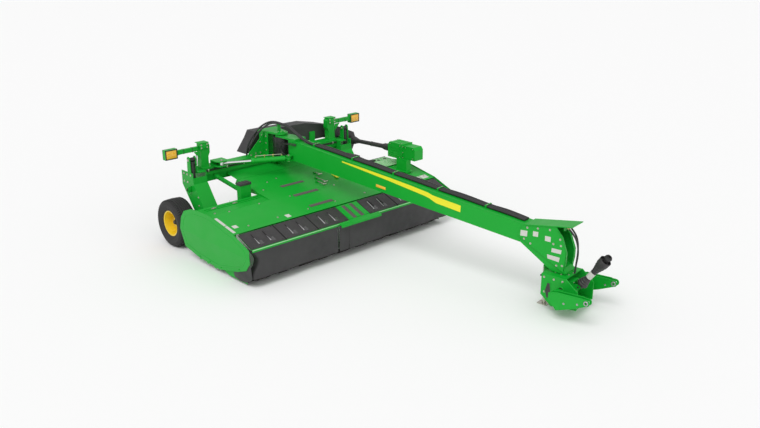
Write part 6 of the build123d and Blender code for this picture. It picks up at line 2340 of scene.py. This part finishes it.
    def gearbox(self) -> None:
        """Bolt the bearing cover on the gearbox's front, with its ribs and plugs."""
        ahead = (hitch(1, 0, 0) - hitch(0, 0, 0)).normalized()
        cover = (
            (0, 0), (0.072, 0), (0.072, 0.009), (0.058, 0.012), (0.044, 0.013), (0.04, 0.018), (0, 0.019),
        )
        made = [BENCH.lathe(cover, hitch(0.19, 0, 0.3), ahead)]
        turn = math.radians(AXES.tongue_deg)
        for off in (-0.091, 0.091):
            for z in (0.2, 0.25, 0.3, 0.35):
                made.append(BENCH.box(hitch(0.14, off, z), (0.012, 0.09, 0.008), 0.002, turn))
        BENCH.group(made, "hitch_gearbox_cover", LEAF_GREEN, "hitch")
        bolts = [
            BENCH.bolt(hitch(0.199, 0.062 * across, 0.3 + 0.062 * high), ahead, 0.0075)
            for across, high in ring(6, 0.3)
        ]
        for off, z, size in ((-0.07, 0.455, 0.0085), (0.07, 0.455, 0.0085), (0.07, 0.19, 0.0115)):
            bolts.append(BENCH.bolt(hitch(0.19, off, z), ahead, size))
        BENCH.group(bolts, "hitch_gearbox_bolts", ZINC, "hitch")

    def shaft(self) -> None:
        """Guard the input shaft with bells, a blank band and the yoke's collar."""
        line = (self.along(1) - self.along(0)).normalized()
        start = self.along(0)
        bell = (
            (0.04, 0.175), (0.046, 0.172), (0.049, 0.15), (0.056, 0.144), (0.058, 0.118), (0.065, 0.11),
            (0.067, 0.086), (0.074, 0.078), (0.076, 0.052), (0.071, 0.052), (0.068, 0.076), (0.05, 0.12),
            (0.04, 0.165),
        )
        cone = (
            (0.04, 0.335), (0.047, 0.338), (0.05, 0.372), (0.057, 0.38), (0.06, 0.415), (0.068, 0.424),
            (0.072, 0.462), (0.079, 0.472), (0.082, 0.556), (0.078, 0.56), (0.074, 0.52), (0.061, 0.54),
            (0.061, 0.47), (0.04, 0.4),
        )
        made = [BENCH.lathe(bell, start, line, 44), BENCH.lathe(cone, start, line)]
        BENCH.group(made, "input_shaft_guards", MOULDED_PLASTIC, "pto")
        yoke = ((0.0385, 0.59), (0.047, 0.59), (0.049, 0.596), (0.049, 0.622), (0.045, 0.63), (0.0385, 0.632))
        made = [BENCH.lathe(yoke, start, line, 40)]
        for index in range(10):
            out = Matrix.Rotation(2 * math.pi * index / 10, 3, line) @ AXES.across()
            middle = start + line * 0.609 + out * 0.0488
            made += BENCH.beads([middle - line * 0.011, middle + line * 0.011], 0.0035, 10)
        BENCH.group(made, "input_yoke_collar", BLACK_GLOSS, "pto")
        band = ((0.0415, 0.195), (0.0432, 0.195), (0.0432, 0.3), (0.0415, 0.3))
        BENCH.finish(BENCH.lathe(band, start, line), "input_shaft_band", PALE_PLATE, "pto")
        BENCH.group([
            BENCH.lathe(((0.041, d), (0.0445, d + 0.001), (0.0445, d + 0.005), (0.041, d + 0.006)), start, line, 40)
            for d in (0.186, 0.306)
        ], "input_shaft_rings", BLACK_GLOSS, "pto")

    def jack(self) -> None:
        """Add the jack's gear head, its crank and the foot's ribs."""
        s = -0.262
        centre = hitch(s, 0, 0.0)
        head = ((0, 0.536), (0.043, 0.536), (0.045, 0.542), (0.045, 0.566), (0.036, 0.576), (0, 0.579))
        band = ((0.036, 0.21), (0.0425, 0.212), (0.0425, 0.238), (0.036, 0.24))
        BENCH.group([BENCH.lathe(ring, centre, UP, 40) for ring in (head, band)], "jack_head", LEAF_GREEN, "hitch")
        stub, elbow, knee = hitch(s, -0.04, 0.556), hitch(s, -0.086, 0.556), hitch(s, -0.086, 0.47)
        BENCH.group([
            BENCH.bar(stub, elbow, 0.0075, 16), BENCH.bar(elbow + UP * 0.008, knee - UP * 0.008, 0.0075, 16),
            BENCH.bar(knee, hitch(s, -0.15, 0.47), 0.0068, 16),
        ], "jack_crank", ZINC, "hitch")
        grip = BENCH.bar(hitch(s, -0.098, 0.47), hitch(s, -0.156, 0.47), 0.0125, 24, 0.004)
        BENCH.finish(grip, "jack_grip", BLACK_GLOSS, "hitch")
        ribs = []
        for x, y in ring(4):
            out = Vector((x, y, 0))
            foot = centre + out * 0.028
            corners = [foot + UP * 0.0135, foot + out * 0.044 + UP * 0.0135, foot + UP * 0.0275]
            ribs.append(BENCH.plate(corners, out.cross(UP), 0.006))
        BENCH.group(ribs, "jack_foot_ribs", ZINC, "jack")


@dataclass
class Tower:
    """King pins, bolts, hoses and seams round the tongue's pivot.

    Attributes:
        pivot_y: The pivot's place, in machine axes.
        top: The tower's top face.
        low: The underside of its lower plate.
        beam_top: The height of the weld beads on the frame's beam.
    """

    pivot_y: float = 1.96
    top: float = 1.66
    low: float = 1.195
    beam_top: float = 1.2505

    def build(self) -> None:
        """Model the tower's trim."""
        self.caps()
        self.fasteners()
        self.drum()
        self.beads()
        self.beam()
        self.loops()

    def caps(self) -> None:
        """Cap the king pin above and below."""
        cap = ((0, 0), (0.066, 0), (0.066, 0.008), (0.06, 0.012), (0.04, 0.012), (0.036, 0.02), (0, 0.022))
        BENCH.group([
            BENCH.lathe(cap, machine(0, self.pivot_y, z), way) for z, way in ((self.top, UP), (self.low, -UP))
        ], "king_pin_caps", LEAF_GREEN)

    def fasteners(self) -> None:
        """Bolt the king pin's caps and the tower's cheeks and wings."""
        bolts = []
        for across, back in ring(4, math.pi / 4):
            x, y = 0.052 * across, self.pivot_y + 0.052 * back
            bolts.append(BENCH.bolt(machine(x, y, self.top + 0.011), UP, 0.0075))
            bolts.append(BENCH.bolt(machine(x, y, self.low - 0.011), -UP, 0.0075))
        for hand in HANDS:
            for y, z in ((2.19, 1.33), (2.19, 1.45), (2.19, 1.57), (2.3, 1.33), (2.3, 1.57)):
                bolts.append(BENCH.bolt(machine(hand * 0.166, y, z), Vector((hand, 0, 0)), 0.011))
            for x, z in ((0.25, 1.29), (0.35, 1.29), (0.45, 1.275), (0.25, 1.48)):
                bolts.append(BENCH.bolt(machine(hand * x, 2.24, z), Vector((0, -1, 0)), 0.011))
        BENCH.group(bolts, "tower_bolts", ZINC)

    def drum(self) -> None:
        """Raise three ribs round the pivot's drum."""
        BENCH.group([
            BENCH.lathe(
                ((0.149, z - 0.01), (0.1535, z - 0.007), (0.1545, z), (0.1535, z + 0.007), (0.149, z + 0.01)),
                tongue(0, 0, 0), UP, 72,
            ) for z in (1.335, 1.427, 1.52)
        ], "drum_ribs", BLACK_GLOSS, "tongue")

    def beads(self) -> None:
        """Weld the tower's cheeks and wings to the beam."""
        beads = []
        for hand in HANDS:
            for x0, y0, x1, y1 in (
                (0.149, 2.145, 0.149, 2.375), (0.167, 2.145, 0.167, 2.375),
                (0.175, 2.2385, 0.525, 2.2385), (1.288, 2.2385, 1.438, 2.2385),
            ):
                ends = [machine(hand * x0, y0, self.beam_top), machine(hand * x1, y1, self.beam_top)]
                beads += BENCH.beads(ends, 0.005)
        BENCH.group(beads, "frame_weld_beads", LEAF_GREEN)

    def beam(self) -> None:
        """Bolt the beam's ends to the frame legs and clip the pipes along its front."""
        bolts = []
        for hand in HANDS:
            for y, z, size in (
                (2.15, 1.19, 0.0125), (2.25, 1.19, 0.0125), (2.35, 1.19, 0.0125), (2.25, 1.06, 0.0125),
                (2.35, 1.06, 0.0125), (1.96, 0.72, 0.011), (1.96, 0.86, 0.011),
            ):
                bolts.append(BENCH.bolt(machine(hand * 1.7, y, z), Vector((hand, 0, 0)), size))
        BENCH.group(bolts, "leg_bolts", ZINC)
        y = 2.1905
        for index, z in enumerate((1.205, 1.185)):
            for side, name in ((-1, "right"), (1, "left")):
                points = [machine(side * x, y, z) for x in (0.3, 0.32, 0.7, 1.1, 1.38, 1.43)]
                BENCH.hose(points, 0.007, f"beam_pipe_{name}_{index + 1}", BLACK_GLOSS)
        BENCH.group([
            BENCH.box(machine(x, y, 1.195), (0.026, 0.024, 0.048), 0.003)
            for x in (-1.34, -0.98, -0.64, -0.34, 0.34, 0.64, 0.98, 1.34)
        ], "beam_pipe_clips", ZINC)

    def loops(self) -> None:
        """Loop two thin hoses from the tongue's side round the drum to the cylinder's lug."""
        for index, lift in enumerate((0, 0.022)):
            route = (
                (0.48, -0.131, 1.54 - lift), (0.44, -0.15, 1.545 - lift), (0.33, -0.185, 1.55 - lift),
                (0.22, -0.196, 1.53 - lift), (0.165 + lift, -0.192, 1.47), (0.16 + lift, -0.19, 1.4),
                (0.19 + lift, -0.192, 1.35), (0.25 + lift, -0.18, 1.34),
            )
            points = [tongue(*place) for place in route]
            BENCH.hose(points, 0.008, f"drum_hose_{index + 1}", HOSE_RUBBER, "tongue")


@dataclass
class Cutters:
    """Hubs and bolts of the discs, and the clips of the rotor's tines.

    Attributes:
        discs: How many discs there are.
        hub_z: The height of a disc's dome.
        knife_z: The height of a knife's bolt.
        knife_bolt: How far the knife bolts lie from a disc's middle.
        rotor: The rotor's middle, in machine axes.
        tines: Rows of tines, and tines in a row.
        tine_half: Half the length over which the tines stand.
    """

    discs: int = 10
    hub_z: float = 0.142
    knife_z: float = 0.108
    knife_bolt: float = 0.16
    rotor: Triple = (0.0, 0.9, 0.43)
    tines: tuple[int, int] = (4, 14)
    tine_half: float = 1.345

    def build(self) -> None:
        """Model the cutters' trim."""
        for index in range(self.discs):
            self.disc(index)
        self.clips()

    def disc(self, index: int) -> None:
        """Cap one disc's hub and bolt it, with a nut over each knife.

        Args:
            index: The disc's number, from 0.
        """
        low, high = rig.box(f"cutting_disc_{index + 1}")
        centre = (low + high) / 2
        seat = Vector((centre.x, centre.y, self.hub_z))
        hub = ((0, 0), (0.044, 0), (0.044, 0.005), (0.034, 0.012), (0.018, 0.016), (0, 0.017))
        made = [BENCH.lathe(hub, seat, UP, 36)]
        ray = Vector((1, 0, 0)) if index % 2 == 0 else Vector((0, 1, 0))
        side = Vector((-ray.y, ray.x, 0))
        for hand in HANDS:
            knife = Vector((centre.x, centre.y, self.knife_z)) + ray * hand * self.knife_bolt
            made.append(BENCH.bolt(knife, UP, 0.012))
            made += [BENCH.bolt(seat + way * hand * 0.03 + UP * 0.006, UP, 0.006) for way in (side, ray)]
        BENCH.group(made, f"disc_hub_{index + 1}", BARE_STEEL, f"disc_{index + 1}")

    def clips(self) -> None:
        """Clip every tine to the rotor's tube with a saddle and a bolt."""
        rows, count = self.tines
        pitch = 2 * self.tine_half / (count - 1)
        saddles = []
        bolts = []
        for row in range(rows):
            for place in range(count):
                x = -self.tine_half + place * pitch + (row - 1.5) * pitch / rows
                turn = math.radians(row * 360 / rows + place * 90 / count)
                out = Vector((0, -math.sin(turn), math.cos(turn)))
                side = Vector((0, math.cos(turn), math.sin(turn)))
                seat = machine(*self.rotor) + Vector((x, 0, 0)) + out * 0.088
                saddle = ((-0.026, -0.03), (0.026, -0.03), (0.026, 0.03), (-0.026, 0.03))
                corners = [seat + Vector((along, 0, 0)) + side * round_it for along, round_it in saddle]
                saddles.append(BENCH.plate(corners, out, 0.009))
                foot = seat + side * 0.022
                bolts += BENCH.beads([foot + out * 0.006, foot + out * 0.017], 0.0075, 6)
        BENCH.group(saddles, "tine_saddles", BLACK_GLOSS, "rotor")
        BENCH.group(bolts, "tine_bolts", ZINC, "rotor")


def main() -> None:
    """Dress the machine, piece by piece."""
    logging.basicConfig(level=logging.INFO, format="%(name)s: %(message)s")
    Paintwork().dress()
    Studio().build()
    Hoses().build()
    Curtains().build()
    wheels, ends, lamps = ([kind(name, side) for side, name in SIDES] for kind in (Wheel, HeaderEnd, Lamp))
    for part in (
        *wheels, Tongue(), Deck(), *ends, *lamps, Cylinders(), FloatSprings(), DriveBox(),
        Gooseneck(), Hitch(), Tower(), Cutters(),
    ):
        part.build()
    LOG.info("%d new pieces", BENCH.count)
    sizes = {
        "cad": [list(corner) for corner in CAD_BOX],
        "visual": [list(corner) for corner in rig.bounds()],
    }
    with open("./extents.json", "w") as out:
        json.dump(sizes, out)


if __name__ == "__main__":
    main()
